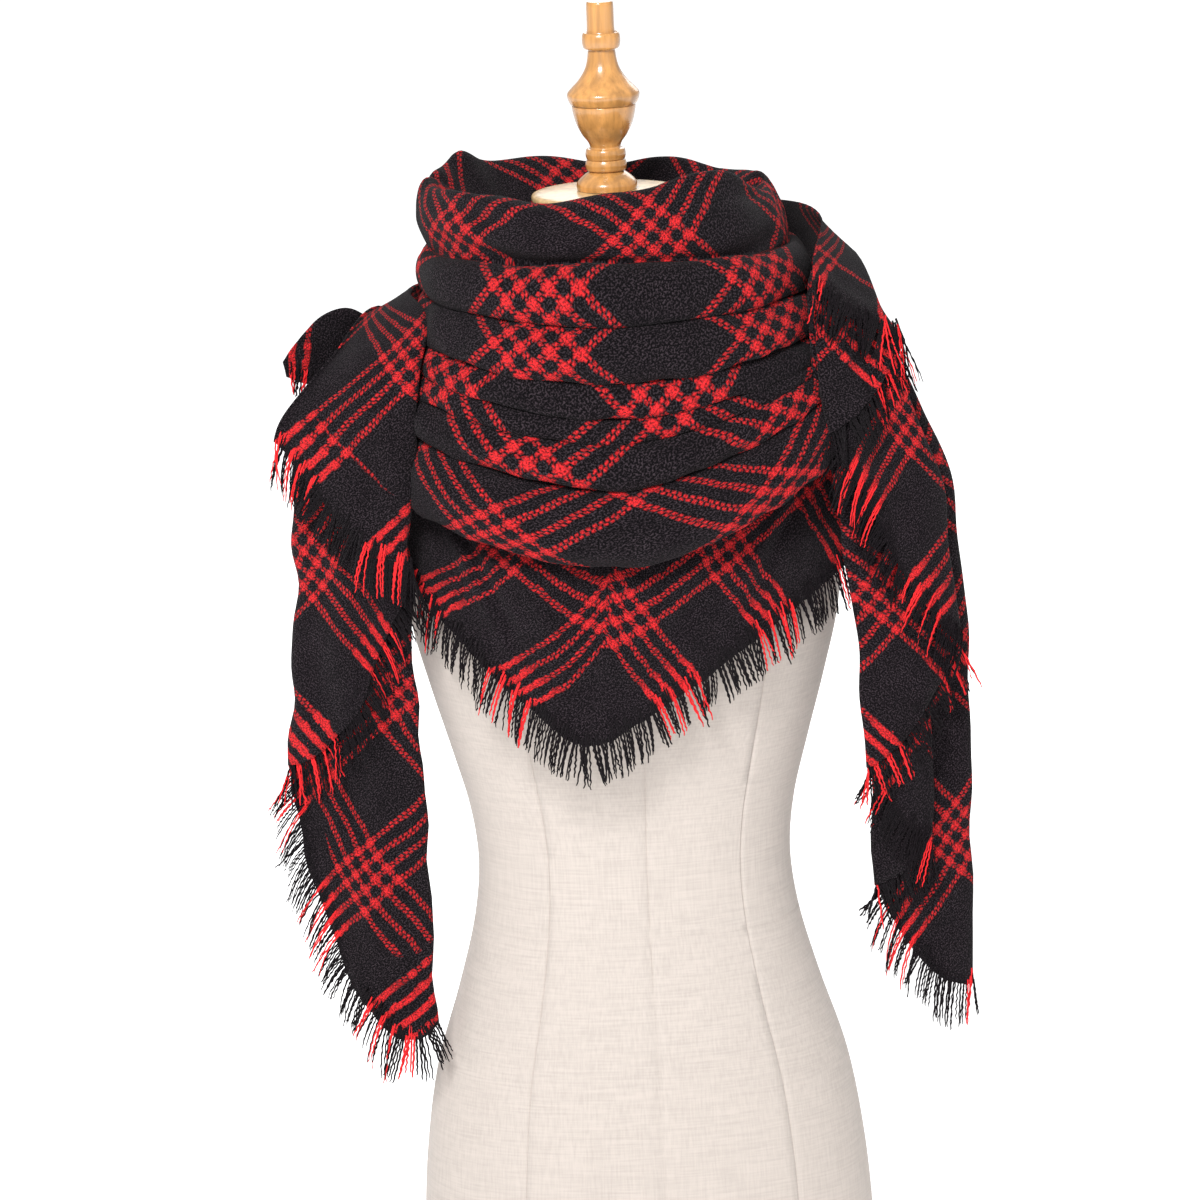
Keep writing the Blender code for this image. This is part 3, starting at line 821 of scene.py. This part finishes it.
def yarns(name, hems, look, sizes, seed, reach=1.0):
    """A fringe of crimped yarns, joined into one mesh.

    Each yarn is a four-sided tube along root + fall * L t + (down - fall) * droop * L t^2, plus a crimp of
    r cos(2 pi s / wave) beside and out from it, plus the lean of its bunch, which grows as t^1.4.
    """
    rng = np.random.default_rng(seed)
    parts = [yarn_roots(*hem, sizes.yarn_gap, rng) for hem in hems]
    root, fall, out, run, place = (np.concatenate([p[k] for p in parts]) for k in range(5))
    spots = np.concatenate([p[5] + 10.0 * k for k, p in enumerate(parts)])
    count = len(root)
    # Bunches of yarns lean to their middle.
    bunch = np.floor(spots / BUNCH + 0.6 * np.sin(spots * 170.0)).astype(int)
    groups, which = np.unique(bunch, return_inverse=True)
    size = np.bincount(which)
    centre = np.bincount(which, spots) / size
    lean_all = rng.normal(0, 0.0040, len(groups))
    long_all = rng.uniform(0.82, 1.08, len(groups))
    curl_all = rng.normal(0, 0.0030, len(groups))
    lean = (centre[which] - spots) * 0.30 + lean_all[which] + rng.normal(0, 0.0012, count)
    length = sizes.reach * reach * long_all[which] * rng.uniform(0.84, 1.06, count)
    curl = curl_all[which] + rng.normal(0, 0.0010, count)
    t = np.linspace(0, 1, YARN_STEPS)[None, :, None]
    down = np.array([0, 0, -1.0])
    tuck = rng.uniform(0.002, 0.014, count)[:, None]
    start = root - fall * tuck + out * 0.0006
    reach_t = length[:, None, None] * t
    droop = rng.uniform(0.20, 0.45, count)[:, None, None]
    path = start[:, None] + fall[:, None] * (reach_t + tuck[:, None] * t) + (down - fall)[:, None] * reach_t * t * droop
    wave = rng.uniform(0.0032, 0.0042, count)[:, None]
    phase = rng.uniform(0, 2 * math.pi, count)[:, None]
    swing = 2 * math.pi * reach_t[..., 0] / wave + phase
    loose = np.minimum(t[..., 0] * 4, 1)
    crimp = rng.uniform(0.00030, 0.00062, count)[:, None] * loose
    sway = lean[:, None] * t[..., 0] ** 1.4 + crimp * np.cos(swing)
    lift = curl[:, None] * t[..., 0] ** 1.7 + crimp * np.sin(swing) * 0.7 + 0.0006 * loose
    path = path + run[:, None] * sway[..., None] + out[:, None] * lift[..., None]
    girth = sizes.yarn_width / 2 * (1 - 0.45 * t**6) * rng.uniform(0.85, 1.15, count)[:, None, None]
    ring = np.stack([path + run[:, None] * girth, path + out[:, None] * girth,
                     path - run[:, None] * girth, path - out[:, None] * girth], 2)
    numbers = np.arange(count * YARN_STEPS * 4).reshape(count, YARN_STEPS, 4)
    turned_on = np.roll(numbers, -1, axis=2)
    sides = np.stack([numbers[:, :-1], turned_on[:, :-1], turned_on[:, 1:], numbers[:, 1:]], -1).reshape(-1, 4)
    ends = np.concatenate([numbers[:, 0, ::-1], numbers[:, -1]])
    made = mesh_object(name, ring.reshape(-1, 3), np.concatenate([sides, ends]).tolist(), look)
    local = np.abs(place - sizes.repeat * np.round(place / sizes.repeat))
    from_line = np.abs(np.abs(local - sizes.pitch) - sizes.pitch / 2)
    dye = (from_line + rng.normal(0, 0.0003, count) < 0.0024).astype(np.float32)
    layer = made.data.attributes.new("dye", "FLOAT", "POINT")
    layer.data.foreach_set("value", np.repeat(dye, YARN_STEPS * 4))
    return made


# ---------------------------------------------------------------- collar and rolls


def neck_line(row, angle):
    """A line round the neck at angles from its front: -90 degrees at its left side, 90 at its right."""
    row = np.asarray(row, float)
    front_y, front_z, left_x, left_y, left_z, right_x, right_y, right_z, back_y, back_z = row[:10]
    sine = np.sin(angle)
    cosine = np.cos(angle)
    x = np.where(sine > 0, right_x, -left_x) * sine
    side_y = np.where(sine > 0, right_y, left_y)
    side_z = np.where(sine > 0, right_z, left_z)
    middle_y = np.where(cosine > 0, front_y, back_y)
    middle_z = np.where(cosine > 0, front_z, back_z)
    y = side_y + (middle_y - side_y) * np.abs(cosine)
    z = middle_z + (side_z - middle_z) * np.abs(sine) ** SWAG
    return np.stack([x, y, z], -1)


def roll(above, crease_row, angle, steps):
    """The rows of one soft roll, half an oval between two crease lines that hangs over the lower one."""
    top = neck_line(above, angle)
    foot = neck_line(crease_row, angle)
    swell, hang, at_side = crease_row[10:13]
    fade = at_side + (1 - at_side) * np.abs(np.cos(angle))
    out = np.stack([np.sin(angle), -np.cos(angle), np.zeros_like(angle)], -1)
    a = math.pi * np.asarray(steps)[:, None]
    body = top + (foot - top) * ((1 - np.cos(a)) / 2)[..., None]
    body = body + out * (swell * fade * np.sin(a))[..., None]
    body[..., 2] -= hang * fade * np.sin(a) * (1 - np.cos(a)) / 2
    return body


def level_place(angle):
    """Distance round the neck from its front, so that the whole way round is five repeats of the check."""
    dense = np.linspace(-math.pi, math.pi, 721)
    length = arc(neck_line(COLLAR_CREASE, dense), 0)
    length -= np.interp(0, dense, length)
    scale = 2.5 * ACROSS_REPEAT
    length = np.where(length < 0, length / -length[0], length / length[-1]) * scale
    return np.interp(angle, dense, length)


def front_cloth(across, height, repeat):
    """Cloth coordinates of the front: across runs level round the neck and height up the cloth."""
    u = across / ACROSS_REPEAT + height / DOWN_REPEAT
    v = across / ACROSS_REPEAT - height / DOWN_REPEAT
    hem = np.clip(np.stack([u + HEM_PHASE, HEM_PHASE - v], -1) * repeat, 0, NO_HEM)
    return np.stack([u, v], -1) * repeat, hem


COLLAR_COLUMNS = 241  # the last one shares its points with the first
UPPER_ROWS = 34  # rows inside the collar, over its rim and down its first roll
ROLL_ROWS = 24


def collar_grid():
    """The collar as one closed ring: inside, rim, and its two soft rolls down to its crease."""
    angle = np.linspace(-math.pi, math.pi, COLLAR_COLUMNS)
    upper = np.stack([neck_line(row, angle) for row in along(COLLAR, np.linspace(0, 1, UPPER_ROWS))])
    lower = roll(COLLAR[-1], COLLAR_CREASE, angle, np.linspace(0, 1, ROLL_ROWS + 1)[1:])
    points = np.concatenate([upper, lower])
    drop = arc(points, 0)
    (rim_foot, rim_shift), (high, low, shift) = COLLAR_CLOTH
    height = rim_foot + drop[UPPER_ROWS - 1] - drop
    below = drop[UPPER_ROWS:]
    height[UPPER_ROWS:] = high + (low - high) * (below - below[0]) / (below[-1] - below[0])
    across = level_place(angle) + 0 * height
    cloth_across = across - np.where(np.arange(len(points)) < UPPER_ROWS, rim_shift, shift)[:, None]
    return points, across, cloth_across, height, angle


# Creases on the collar: a path of (place round the neck, height up the cloth), its half
# width, its depth and the size of the ridge beside it.
COLLAR_CREASES = (
    (((-0.150, 0.402), (-0.080, 0.388), (0.000, 0.378), (0.080, 0.379), (0.150, 0.395)), 0.007, 0.0050, 0.4),
    (((-0.190, 0.440), (-0.120, 0.424), (-0.050, 0.418), (0.010, 0.424)), 0.006, 0.0030, 0.7),
    (((0.040, 0.432), (0.100, 0.420), (0.160, 0.428), (0.210, 0.450)), 0.006, 0.0030, 0.7),
    (((-0.130, 0.372), (-0.080, 0.356), (-0.020, 0.350)), 0.006, 0.0024, 0.6),
    (((0.030, 0.352), (0.080, 0.356), (0.140, 0.372), (0.180, 0.380)), 0.006, 0.0026, 0.6),
    (((-0.240, 0.470), (-0.215, 0.430), (-0.205, 0.380), (-0.200, 0.340)), 0.008, 0.0045, 0.6),
    (((0.230, 0.460), (0.210, 0.420), (0.205, 0.370)), 0.008, 0.0040, 0.6),
    (((-0.330, 0.400), (-0.280, 0.385), (-0.230, 0.395)), 0.008, 0.0040, 0.5),
    (((0.250, 0.395), (0.310, 0.380), (0.370, 0.392)), 0.008, 0.0040, 0.5),
    (((-0.390, 0.430), (-0.330, 0.420), (-0.270, 0.432)), 0.006, 0.0028, 0.5),
    (((0.290, 0.428), (0.340, 0.420), (0.395, 0.434)), 0.006, 0.0028, 0.5),
)


# Rises and dips of the collar's rim: place round the neck from its front, half width, height. The first
# is the peak at the back left.
RIM_RISES = (
    (math.radians(-125), 0.13, 0.013),
    (0.66, 0.42, 0.019),
    (-0.30, 0.30, -0.007),
)
RIM_WAVES = ((3, 0.8, 0.0022), (7, 0.0, 0.0016))  # how many round the neck, phase, height
RIM_ROW = 13  # the row on top of the rim
RIM_SPAN = 9  # rows over which the rises fade
NECK_RADIUS = 0.13


class SCARF_OT_collar(bpy.types.Operator):
    """Make the collar that stands round the neck."""

    bl_idname = "scarf.collar"
    bl_label = "Collar"

    def execute(self, context):
        """Build the ring, the rises of its rim and its creases."""
        sizes = context.scene.scarf_sizes
        points, across, cloth_across, height, angle = collar_grid()
        rise = sum(high * np.cos(waves * angle + phase) for waves, phase, high in RIM_WAVES)
        for place, half, high in RIM_RISES:
            turn = np.mod(angle - place + math.pi, 2 * math.pi) - math.pi
            rise = rise + high * np.exp(-((turn / half) ** 2))
        points[..., 2] += np.exp(-(((np.arange(len(points)) - RIM_ROW) / RIM_SPAN) ** 2))[:, None] * rise
        ahead = np.cos(angle) * NECK_RADIUS + 0 * height
        push = 0.0016 * ripples(ahead, np.sin(angle) * NECK_RADIUS + height * 0.8, 5, 0.085)
        push = push + creases(across, height, COLLAR_CREASES)
        points = points + facing(points, True) * push[..., None]
        points[:, -1] = points[:, 0]
        cloth, hem = front_cloth(cloth_across, height, sizes.repeat)
        hem[:] = NO_HEM
        weld = np.append(np.arange(COLLAR_COLUMNS - 1), 0)
        made = sheet("scarf_collar", points, cloth, hem, wool(context), weld=weld)
        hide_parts("front_collar", "back_collar")
        return {"FINISHED"}


# Creases on the rolls: which roll, from the top, then as on the collar.
ROLL_CREASES = (
    (0, ((-0.130, 0.312), (-0.070, 0.306), (-0.010, 0.300)), 0.005, 0.0022, 0.6),
    (0, ((0.020, 0.304), (0.080, 0.309), (0.140, 0.320)), 0.005, 0.0022, 0.6),
    (1, ((-0.140, 0.282), (-0.060, 0.274), (0.020, 0.272)), 0.004, 0.0016, 0.5),
    (3, ((-0.120, 0.206), (-0.060, 0.196), (0.000, 0.192)), 0.005, 0.0020, 0.6),
    (3, ((0.030, 0.196), (0.080, 0.203), (0.130, 0.212)), 0.005, 0.0020, 0.6),
    (4, ((-0.130, 0.082), (-0.070, 0.066), (-0.010, 0.058), (0.050, 0.060)), 0.007, 0.0026, 0.6),
    (4, ((0.050, 0.075), (0.100, 0.070), (0.140, 0.082)), 0.006, 0.0024, 0.6),
)


def rolls_grid():
    """The rolls under the collar, one below the other, joined in their deep creases."""
    angle = np.radians(np.linspace(-100, 100, 181))
    steps = np.linspace(0, 1, 21)
    lines = [COLLAR_CREASE]
    for row in CREASES:
        back = (0.05, 0.5 * (row[4] + row[7]) + 0.01)  # hidden under the tails
        lines.append(row[:8] + back + row[10:])
    across = level_place(angle)
    points, heights, pushes, places = [], [], [], []
    for k, (above, below) in enumerate(zip(lines, lines[1:])):
        part = roll(above, below, angle, np.concatenate([[0.06], steps[2:]]) if k == 0 else steps[1:])
        drop = arc(part, 0)
        high, low, shift = ROLL_CLOTH[k]
        height = high + (low - high) * drop / drop[-1:]
        push = 0 * height + creases(across + 0 * height, height, [row[1:] for row in ROLL_CREASES if row[0] == k])
        points.append(part)
        heights.append(height)
        pushes.append(push)
        places.append(across - shift + 0 * height)
    points = np.concatenate(points)
    height = np.concatenate(heights)
    push = np.concatenate(pushes) + 0.0012 * ripples(across + 0 * height, points[..., 2] * 1.6, 8, 0.070)
    points = points + facing(points) * push[..., None]
    return points, np.concatenate(places), height


class SCARF_OT_rolls(bpy.types.Operator):
    """Make the soft rolls over the chest."""

    bl_idname = "scarf.rolls"
    bl_label = "Rolls"

    def execute(self, context):
        """Build the stack of rolls under the collar."""
        points, across, height = rolls_grid()
        cloth, hem = front_cloth(across, height, context.scene.scarf_sizes.repeat)
        hem[:] = NO_HEM
        made = sheet("scarf_rolls", points, cloth, hem, wool(context))
        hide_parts("front_rolls")
        return {"FINISHED"}


# Creases on the point: a path of (across 0 to 1, down 0 to 1), half width, depth and ridge.
POINT_CREASES = (
    (((0.10, 0.05), (0.22, 0.35), (0.34, 0.75)), 0.030, 0.0030, 0.6),
    (((0.36, 0.10), (0.44, 0.45), (0.50, 0.85)), 0.026, 0.0022, 0.5),
    (((0.72, 0.10), (0.66, 0.45), (0.58, 0.80)), 0.030, 0.0028, 0.6),
    (((0.90, 0.15), (0.84, 0.45), (0.78, 0.80)), 0.026, 0.0026, 0.5),
)


def point_grid():
    """The point under the rolls: straight lines from its top edge to its hem, swelled in the middle."""
    across = np.linspace(0, 1, 161)
    down = np.linspace(0, 1, 61)
    hem = along(BIB_HEM, across)
    top = along(BIB_TOP, across)
    points = top[None] + (hem - top)[None] * down[:, None, None]
    points[..., 1] -= BIB_SWELL * np.sin(math.pi * down)[:, None] * np.sin(math.pi * across)[None]
    a = across + 0 * points[..., 0]
    b = down[:, None] + 0 * points[..., 0]
    push = 0.0011 * ripples(points[..., 0], points[..., 2], 11, 0.080)
    push = push + creases(a, b, POINT_CREASES)
    points = points + facing(points) * push[..., None]
    ragged = 0.0013 * ripples(a * 0.4, 0 * a, 12, 0.012)
    points[..., 2] += ragged * b**8
    return points


def level_run(points):
    """Level length across each row of a grid, from its middle column."""
    flat = points * np.array([1, 1, 0])
    run = arc(flat, 1)
    middle = points.shape[1] // 2
    return run - run[:, middle : middle + 1]


def hem_yarns(points, place):
    """What a fringe needs to know of the last row of a grid: see yarn_roots."""
    hem = points[-1]
    run = unit(np.gradient(hem, axis=0))
    fall = hem - points[-3]
    fall = unit(fall - (fall * run).sum(-1, keepdims=True) * run)
    fall = unit(FRINGE_SQUARE * fall + (1 - FRINGE_SQUARE) * np.array([0, 0, -1.0]))
    return hem, fall, facing(points)[-1], place


class SCARF_OT_point(bpy.types.Operator):
    """Make the point of the scarf and its fringe."""

    bl_idname = "scarf.point"
    bl_label = "Point"

    def execute(self, context):
        sizes = context.scene.scarf_sizes
        points = point_grid()
        run = level_run(points)
        up = arc(points[::-1], 0)[::-1]
        height = POINT_HEIGHT + np.abs(run) * DOWN_REPEAT / ACROSS_REPEAT + up * 0.98
        cloth, hem = front_cloth(run - POINT_SHIFT, height, sizes.repeat)
        hem = front_cloth(run, height, sizes.repeat)[1]
        made = sheet("scarf_point", points, cloth, hem, wool(context))
        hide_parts("front_point")
        middle = points.shape[1] // 2
        edge = arc(points[-1], 0)
        plain = np.abs(edge - edge[middle]) < 0.045
        places = np.where(plain[:, None], 0.5 * sizes.repeat, cloth[-1])
        left = hem_yarns(points[:, : middle + 1], places[: middle + 1, 1])
        right = hem_yarns(points[:, middle:], places[middle:, 0])
        fringe = yarns("point_fringe", (left, right), yarn(context), sizes, 21)
        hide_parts("front_point_fringe")
        return {"FINISHED"}


# ---------------------------------------------------------------- tails


TURN = 0.10  # share of a pleat's width taken by the turn at each of its edges
ROWS_OVER = 8  # rows to a section on the shoulder
ROWS_DOWN = 58  # rows from the brow of the shoulder to the hem
PLEAT_COLUMNS = 33
RAGGED = 0.0016  # how uneven a hem is
SOFT_FOLDS = 0.0042  # how deep the soft folds of a tail are at its hem
BULGE = 0.008  # how far a tail's middle stands out there
SWAY = 0.0030  # how far its edges stray sideways
CURL = 0.0052  # how far a hem curls out or in
CURL_REACH = 0.016  # and how high up that is felt

# Where a crossing of the check's groups lies on each pleat.
LEFT_CROSSINGS = ((-0.157, -0.105, 0.738), (-0.243, -0.085, 0.555), (-0.183, -0.075, 0.461))
RIGHT_CROSSINGS = (
    (0.132, -0.075, 0.795),
    (0.173, -0.100, 0.736),
    (0.215, -0.090, 0.655),
    (0.198, -0.085, 0.523),
    (0.215, -0.080, 0.430),
    (0.215, -0.080, 0.400),
    (0.247, -0.050, 0.317),
)


def tail_surface(tail, spot, share, lift):
    """Points of a tail's common surface: spot counts its sections from 0, share runs from the inner
    edge at 0 to the outer one at 1, and lift counts layers up from the last."""
    table = along(tail.sections, spot / (len(tail.sections) - 1))
    points = table[..., 0:3] + (table[..., 3:6] - table[..., 0:3]) * share[..., None]
    points[..., 1:] += table[..., 6:8] * (tail.layer * lift)[..., None]
    points[..., 0] *= tail.side
    return points


def hem_spot(tail, share, height, lift):
    """Where each column of a pleat reaches the height of its hem, counted in sections."""
    dense = np.linspace(tail.brow - 1, len(tail.sections) - 1, 401)
    grid = np.broadcast_to(dense[:, None], (len(dense), len(share)))
    z = tail_surface(tail, grid, np.broadcast_to(share, grid.shape), np.broadcast_to(lift, grid.shape))[..., 2]
    return np.array([np.interp(-h, -column, dense) for h, column in zip(height, z.T)])


def pleat(tail, k, columns):
    """The pleat between fold lines k and k + 1, rounded where it turns at each of them.

    The rows run over the shoulder, then from its brow to the hem. At each fold line the sheet rises or
    sinks by half a layer over a quarter of an oval, so that it meets the next pleat there.
    """
    edge, foot, inset, swing, bow = tail.folds[k]
    next_edge, next_foot, next_inset, next_swing = tail.folds[k + 1][:4]
    over = np.arange(0, tail.brow, 1 / ROWS_OVER)[:, None]
    down = np.linspace(0, 1, ROWS_DOWN)[:, None]
    own = edge + (inset if edge == 0 else -inset)
    following = next_edge + (next_inset if next_edge == 0 else -next_inset)
    share = own + (following - own) * columns
    run = np.concatenate([np.zeros_like(over), down])
    share = share + run**2 * (swing + (next_swing - swing) * columns)
    near = np.minimum(columns, 1 - columns)
    level = np.sqrt(1 - (1 - np.minimum(near / TURN, 1)) ** 2)
    lift = len(tail.folds) - 1.5 - k + (1 - level) * 0.5 * np.sign(0.5 - columns)
    height = foot + (next_foot - foot) * columns - bow * 4 * columns * (1 - columns)
    height = height + RAGGED * np.sin(math.pi * columns) * ripples(columns * 0.1, 0 * columns, 31 + k, 0.012)
    last = hem_spot(tail, share[-1], height, lift)
    brow = np.minimum(tail.brow, last - 0.3)
    spot = np.concatenate([over * brow / tail.brow, brow + (last - brow) * down])
    points = tail_surface(tail, spot, share, np.broadcast_to(lift, spot.shape))
    fall = np.concatenate([np.zeros_like(over), down]) ** 0.5
    soft = SOFT_FOLDS * ripples(points[..., 0], points[..., 2] * 0.30, 40 + tail.side, 0.060)
    points[..., 1] -= (soft + BULGE * np.sin(math.pi * np.clip(share, 0, 1))) * fall
    points[..., 0] += SWAY * fall * ripples(points[..., 2], 0 * soft, 45 + tail.side, 0.110)
    up = arc(points[::-1], 0)[::-1]
    curl = ripples(points[..., 0], points[..., 2] * 0.3, 50 + k, 0.050)
    points[..., 1] -= CURL * np.exp(-up / CURL_REACH) * curl * np.sin(math.pi * columns)
    return points


def pleat_cloth(points, crossing):
    """Cloth coordinates of a pleat that hangs flat: its level run and its height turned by its hem's slope."""
    up = arc(points[::-1], 0)[::-1]
    run = arc(points[-ROWS_DOWN:], 1).mean(0) + 0 * up
    if points[-1, 0, 0] > points[-1, -1, 0]:
        run = -run
    height = points[-1, :, 2] + up
    slope = math.atan2(height[-1, -1] - height[-1, 0], run[-1, -1] - run[-1, 0])
    if abs(slope) > math.pi / 2:
        slope -= math.copysign(math.pi, slope)
    u = height * math.cos(slope) - run * math.sin(slope)
    v = height * math.sin(slope) + run * math.cos(slope)
    nearest = np.linalg.norm(points - np.array(crossing), axis=-1).argmin()
    cloth = np.stack([u - u.ravel()[nearest], v - v.ravel()[nearest]], -1)
    hem = np.stack([np.clip(up * math.cos(slope), 0, NO_HEM), np.full_like(up, NO_HEM)], -1)
    return cloth, hem


def tail_grid(tail, crossings):
    """All pleats of a tail side by side in one grid, which share their fold lines."""
    even = np.linspace(0, 1, PLEAT_COLUMNS)
    columns = 0.75 * (0.5 - 0.5 * np.cos(math.pi * even)) + 0.25 * even  # closer together near the folds
    parts, cloths, hems, weld, fringe_rows = [], [], [], [], []
    count = len(columns)
    for k in range(len(tail.names)):
        points = pleat(tail, k, columns)
        cloth, hem = pleat_cloth(points, crossings[k])
        if parts:
            points[:, 0] = parts[-1][:, -1]
        start = k * count
        weld += [start - 1 if parts else start] + list(range(start + 1, start + count))
        parts.append(points)
        cloths.append(cloth)
        hems.append(hem)
        fringe_rows.append(hem_yarns(points, cloth[-1, :, 1]))
    points = np.concatenate(parts, 1)
    keep = np.ones((points.shape[0] - 1, points.shape[1] - 1), bool)
    keep[:, count - 1 :: count] = False
    keep[: (tail.brow - 1) * ROWS_OVER, count:] = False
    return points, np.concatenate(cloths, 1), np.concatenate(hems, 1), weld, keep, fringe_rows


def make_tail(context, name, tail, crossings, seed):
    """One end of the scarf as a single pleated sheet, with the yarns of all its hems."""
    points, cloth, hem, weld, keep, rows = tail_grid(tail, crossings)
    made = sheet(name, points, cloth, hem, wool(context), weld=weld, keep=keep, offset=0.0)
    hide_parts(*tail.names)
    fringe = yarns(name + "_fringe", rows, yarn(context), context.scene.scarf_sizes, seed, reach=1.12)
    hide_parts(*(part + "_fringe" for part in tail.names))


class SCARF_OT_tails(bpy.types.Operator):
    """Make both pleated ends of the scarf and the corner behind the left one."""

    bl_idname = "scarf.tails"
    bl_label = "Tails"

    def execute(self, context):
        """Build the left tail, the right tail and the loose corner."""
        sizes = context.scene.scarf_sizes
        make_tail(context, "left_tail", LEFT_TAIL, LEFT_CROSSINGS, 33)
        make_tail(context, "right_tail", RIGHT_TAIL, RIGHT_CROSSINGS, 34)
        across = np.linspace(0, 1, 41)
        top = along(FLAP_TOP, across)
        foot = along(FLAP_FOOT, across)
        down = np.linspace(0, 1, 15)[:, None, None]
        points = (top[None] + (foot - top)[None] * down)[:, ::-1]
        push = 0.0012 * ripples(points[..., 0], points[..., 2], 15, 0.030)
        points = points + facing(points) * push[..., None]
        cloth, hem = pleat_cloth(points, (-0.252, -0.030, 0.700))
        corner = sheet("back_corner", points, cloth, hem, wool(context))
        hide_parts("left_back_flap")
        rows = hem_yarns(points, cloth[-1, :, 1])
        fringe = yarns("back_corner_fringe", (rows,), yarn(context), sizes, 35, reach=0.45)
        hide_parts("left_back_flap_fringe")
        return {"FINISHED"}


# ---------------------------------------------------------------- stage


AIM = (-0.0184, 0.0, 0.507)
DISTANCE = 5.0
ABOVE = math.radians(12.5)
LEAN = math.radians(2.4)
FRAME_WIDTH = 0.92
# Soft square lights that face LIT: name, place, size in metres, power in watts.
LIGHTS = (
    ("key", (-0.9, -3.1, 3.1), 1.1, 205),
    ("fill", (2.6, -2.4, 1.4), 2.2, 8),
    ("back", (0.6, 2.6, 2.2), 2.0, 30),
)
LIT = (0, 0, 0.55)
WORLD_LIGHT = 0.58
FLOOR_LIGHT = 0.50
FLOOR_EDGE = 30.0


def placed(scene, name, data, place, columns):
    """An object at a place, turned so that these vectors are its own axes."""
    made = bpy.data.objects.new(name, data)
    scene.collection.objects.link(made)
    made.location = place
    made.rotation_euler = Matrix(np.stack(columns, 1).tolist()).to_euler()
    return made


class SCARF_OT_stage(bpy.types.Operator):
    """Make the floor, the soft lights and the camera."""

    bl_idname = "scarf.stage"
    bl_label = "Stage"

    def execute(self, context):
        """Build the stage."""
        scene = context.scene
        net = Nodes("studio_floor", 0.9)
        blend = net.spread(net.noise(net.place(), 3, 2), 0.3, 0.7)
        net.feed(net.shader.inputs["Base Color"], net.mix(blend, tuple(scene.scarf_colours.floor), (1, 1, 1)))
        net.shader.inputs["Emission Color"].default_value = (1, 1, 1, 1)
        net.shader.inputs["Emission Strength"].default_value = FLOOR_LIGHT
        mesh = bpy.data.meshes.new("floor")
        corners = [(-1, -1), (1, -1), (1, 1), (-1, 1)]
        mesh.from_pydata([(x * FLOOR_EDGE, y * FLOOR_EDGE, 0) for x, y in corners], [], [(0, 1, 2, 3)])
        mesh.materials.append(net.made)
        floor = bpy.data.objects.new("floor", mesh)
        scene.collection.objects.link(floor)
        world = bpy.data.worlds.new("studio")
        scene.world = world
        world.use_nodes = True
        world.node_tree.nodes["Background"].inputs["Color"].default_value = (1, 1, 1, 1)
        world.node_tree.nodes["Background"].inputs["Strength"].default_value = WORLD_LIGHT
        for name, place, size, power in LIGHTS:
            lamp = bpy.data.lights.new(name, "AREA")
            lamp.shape = "SQUARE"
            lamp.size = size
            lamp.energy = power
            away = unit(np.subtract(place, LIT))
            level = unit(np.array([-away[1], away[0], 0]))
            placed(scene, name, lamp, place, (level, np.cross(away, level), away))
        scene.view_settings.view_transform = "Standard"
        camera = bpy.data.cameras.new("camera")
        camera.lens = camera.sensor_width * DISTANCE / FRAME_WIDTH
        camera.clip_end = 100
        right = np.array([1.0, 0, 0])
        up = np.array([0, math.sin(ABOVE), math.cos(ABOVE)])
        back = np.array([0, -math.cos(ABOVE), math.sin(ABOVE)])
        side = right * math.cos(LEAN) - up * math.sin(LEAN)
        rise = up * math.cos(LEAN) + right * math.sin(LEAN)
        scene.camera = placed(scene, "camera", camera, np.array(AIM) + DISTANCE * back, (side, rise, back))
        return {"FINISHED"}


def wool(context):
    """The scarf's cloth, made once."""
    scene = context.scene
    return bpy.data.materials.get("scarf_wool") or wool_look("scarf_wool", scene.scarf_sizes, scene.scarf_colours)


def yarn(context):
    """The fringe's yarn, made once."""
    return bpy.data.materials.get("scarf_yarn") or yarn_look("scarf_yarn", context.scene.scarf_colours)


OPERATORS = (SCARF_OT_form, SCARF_OT_collar, SCARF_OT_rolls, SCARF_OT_point, SCARF_OT_tails, SCARF_OT_stage)


class SCARF_PT_panel(bpy.types.Panel):
    """Lists the scarf's settings and the steps that make it."""

    bl_idname = "SCARF_PT_panel"
    bl_label = "Scarf on dress form"
    bl_space_type = "VIEW_3D"
    bl_region_type = "UI"
    bl_category = "Scarf"

    def draw(self, context):
        """Draw the settings, then a button for each step."""
        for group in (context.scene.scarf_sizes, context.scene.scarf_colours):
            for field in group.bl_rna.properties:
                if not field.is_readonly and field.identifier != "name":
                    self.layout.prop(group, field.identifier)
        for operator in OPERATORS:
            self.layout.operator(operator.bl_idname)


CLASSES = (ScarfSizes, ScarfColours, *OPERATORS, SCARF_PT_panel)


def register():
    """Register the classes and hang the settings on the scene."""
    for each in CLASSES:
        bpy.utils.register_class(each)
    bpy.types.Scene.scarf_sizes = bpy.props.PointerProperty(type=ScarfSizes)
    bpy.types.Scene.scarf_colours = bpy.props.PointerProperty(type=ScarfColours)


def unregister():
    """Undo register."""
    del bpy.types.Scene.scarf_colours
    del bpy.types.Scene.scarf_sizes
    for each in reversed(CLASSES):
        bpy.utils.unregister_class(each)


def main():
    """Make everything in order."""
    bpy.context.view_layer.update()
    register()
    bpy.ops.scarf.form()
    bpy.ops.scarf.collar()
    bpy.ops.scarf.rolls()
    bpy.ops.scarf.point()
    bpy.ops.scarf.tails()
    bpy.ops.scarf.stage()


if __name__ == "__main__":
    main()
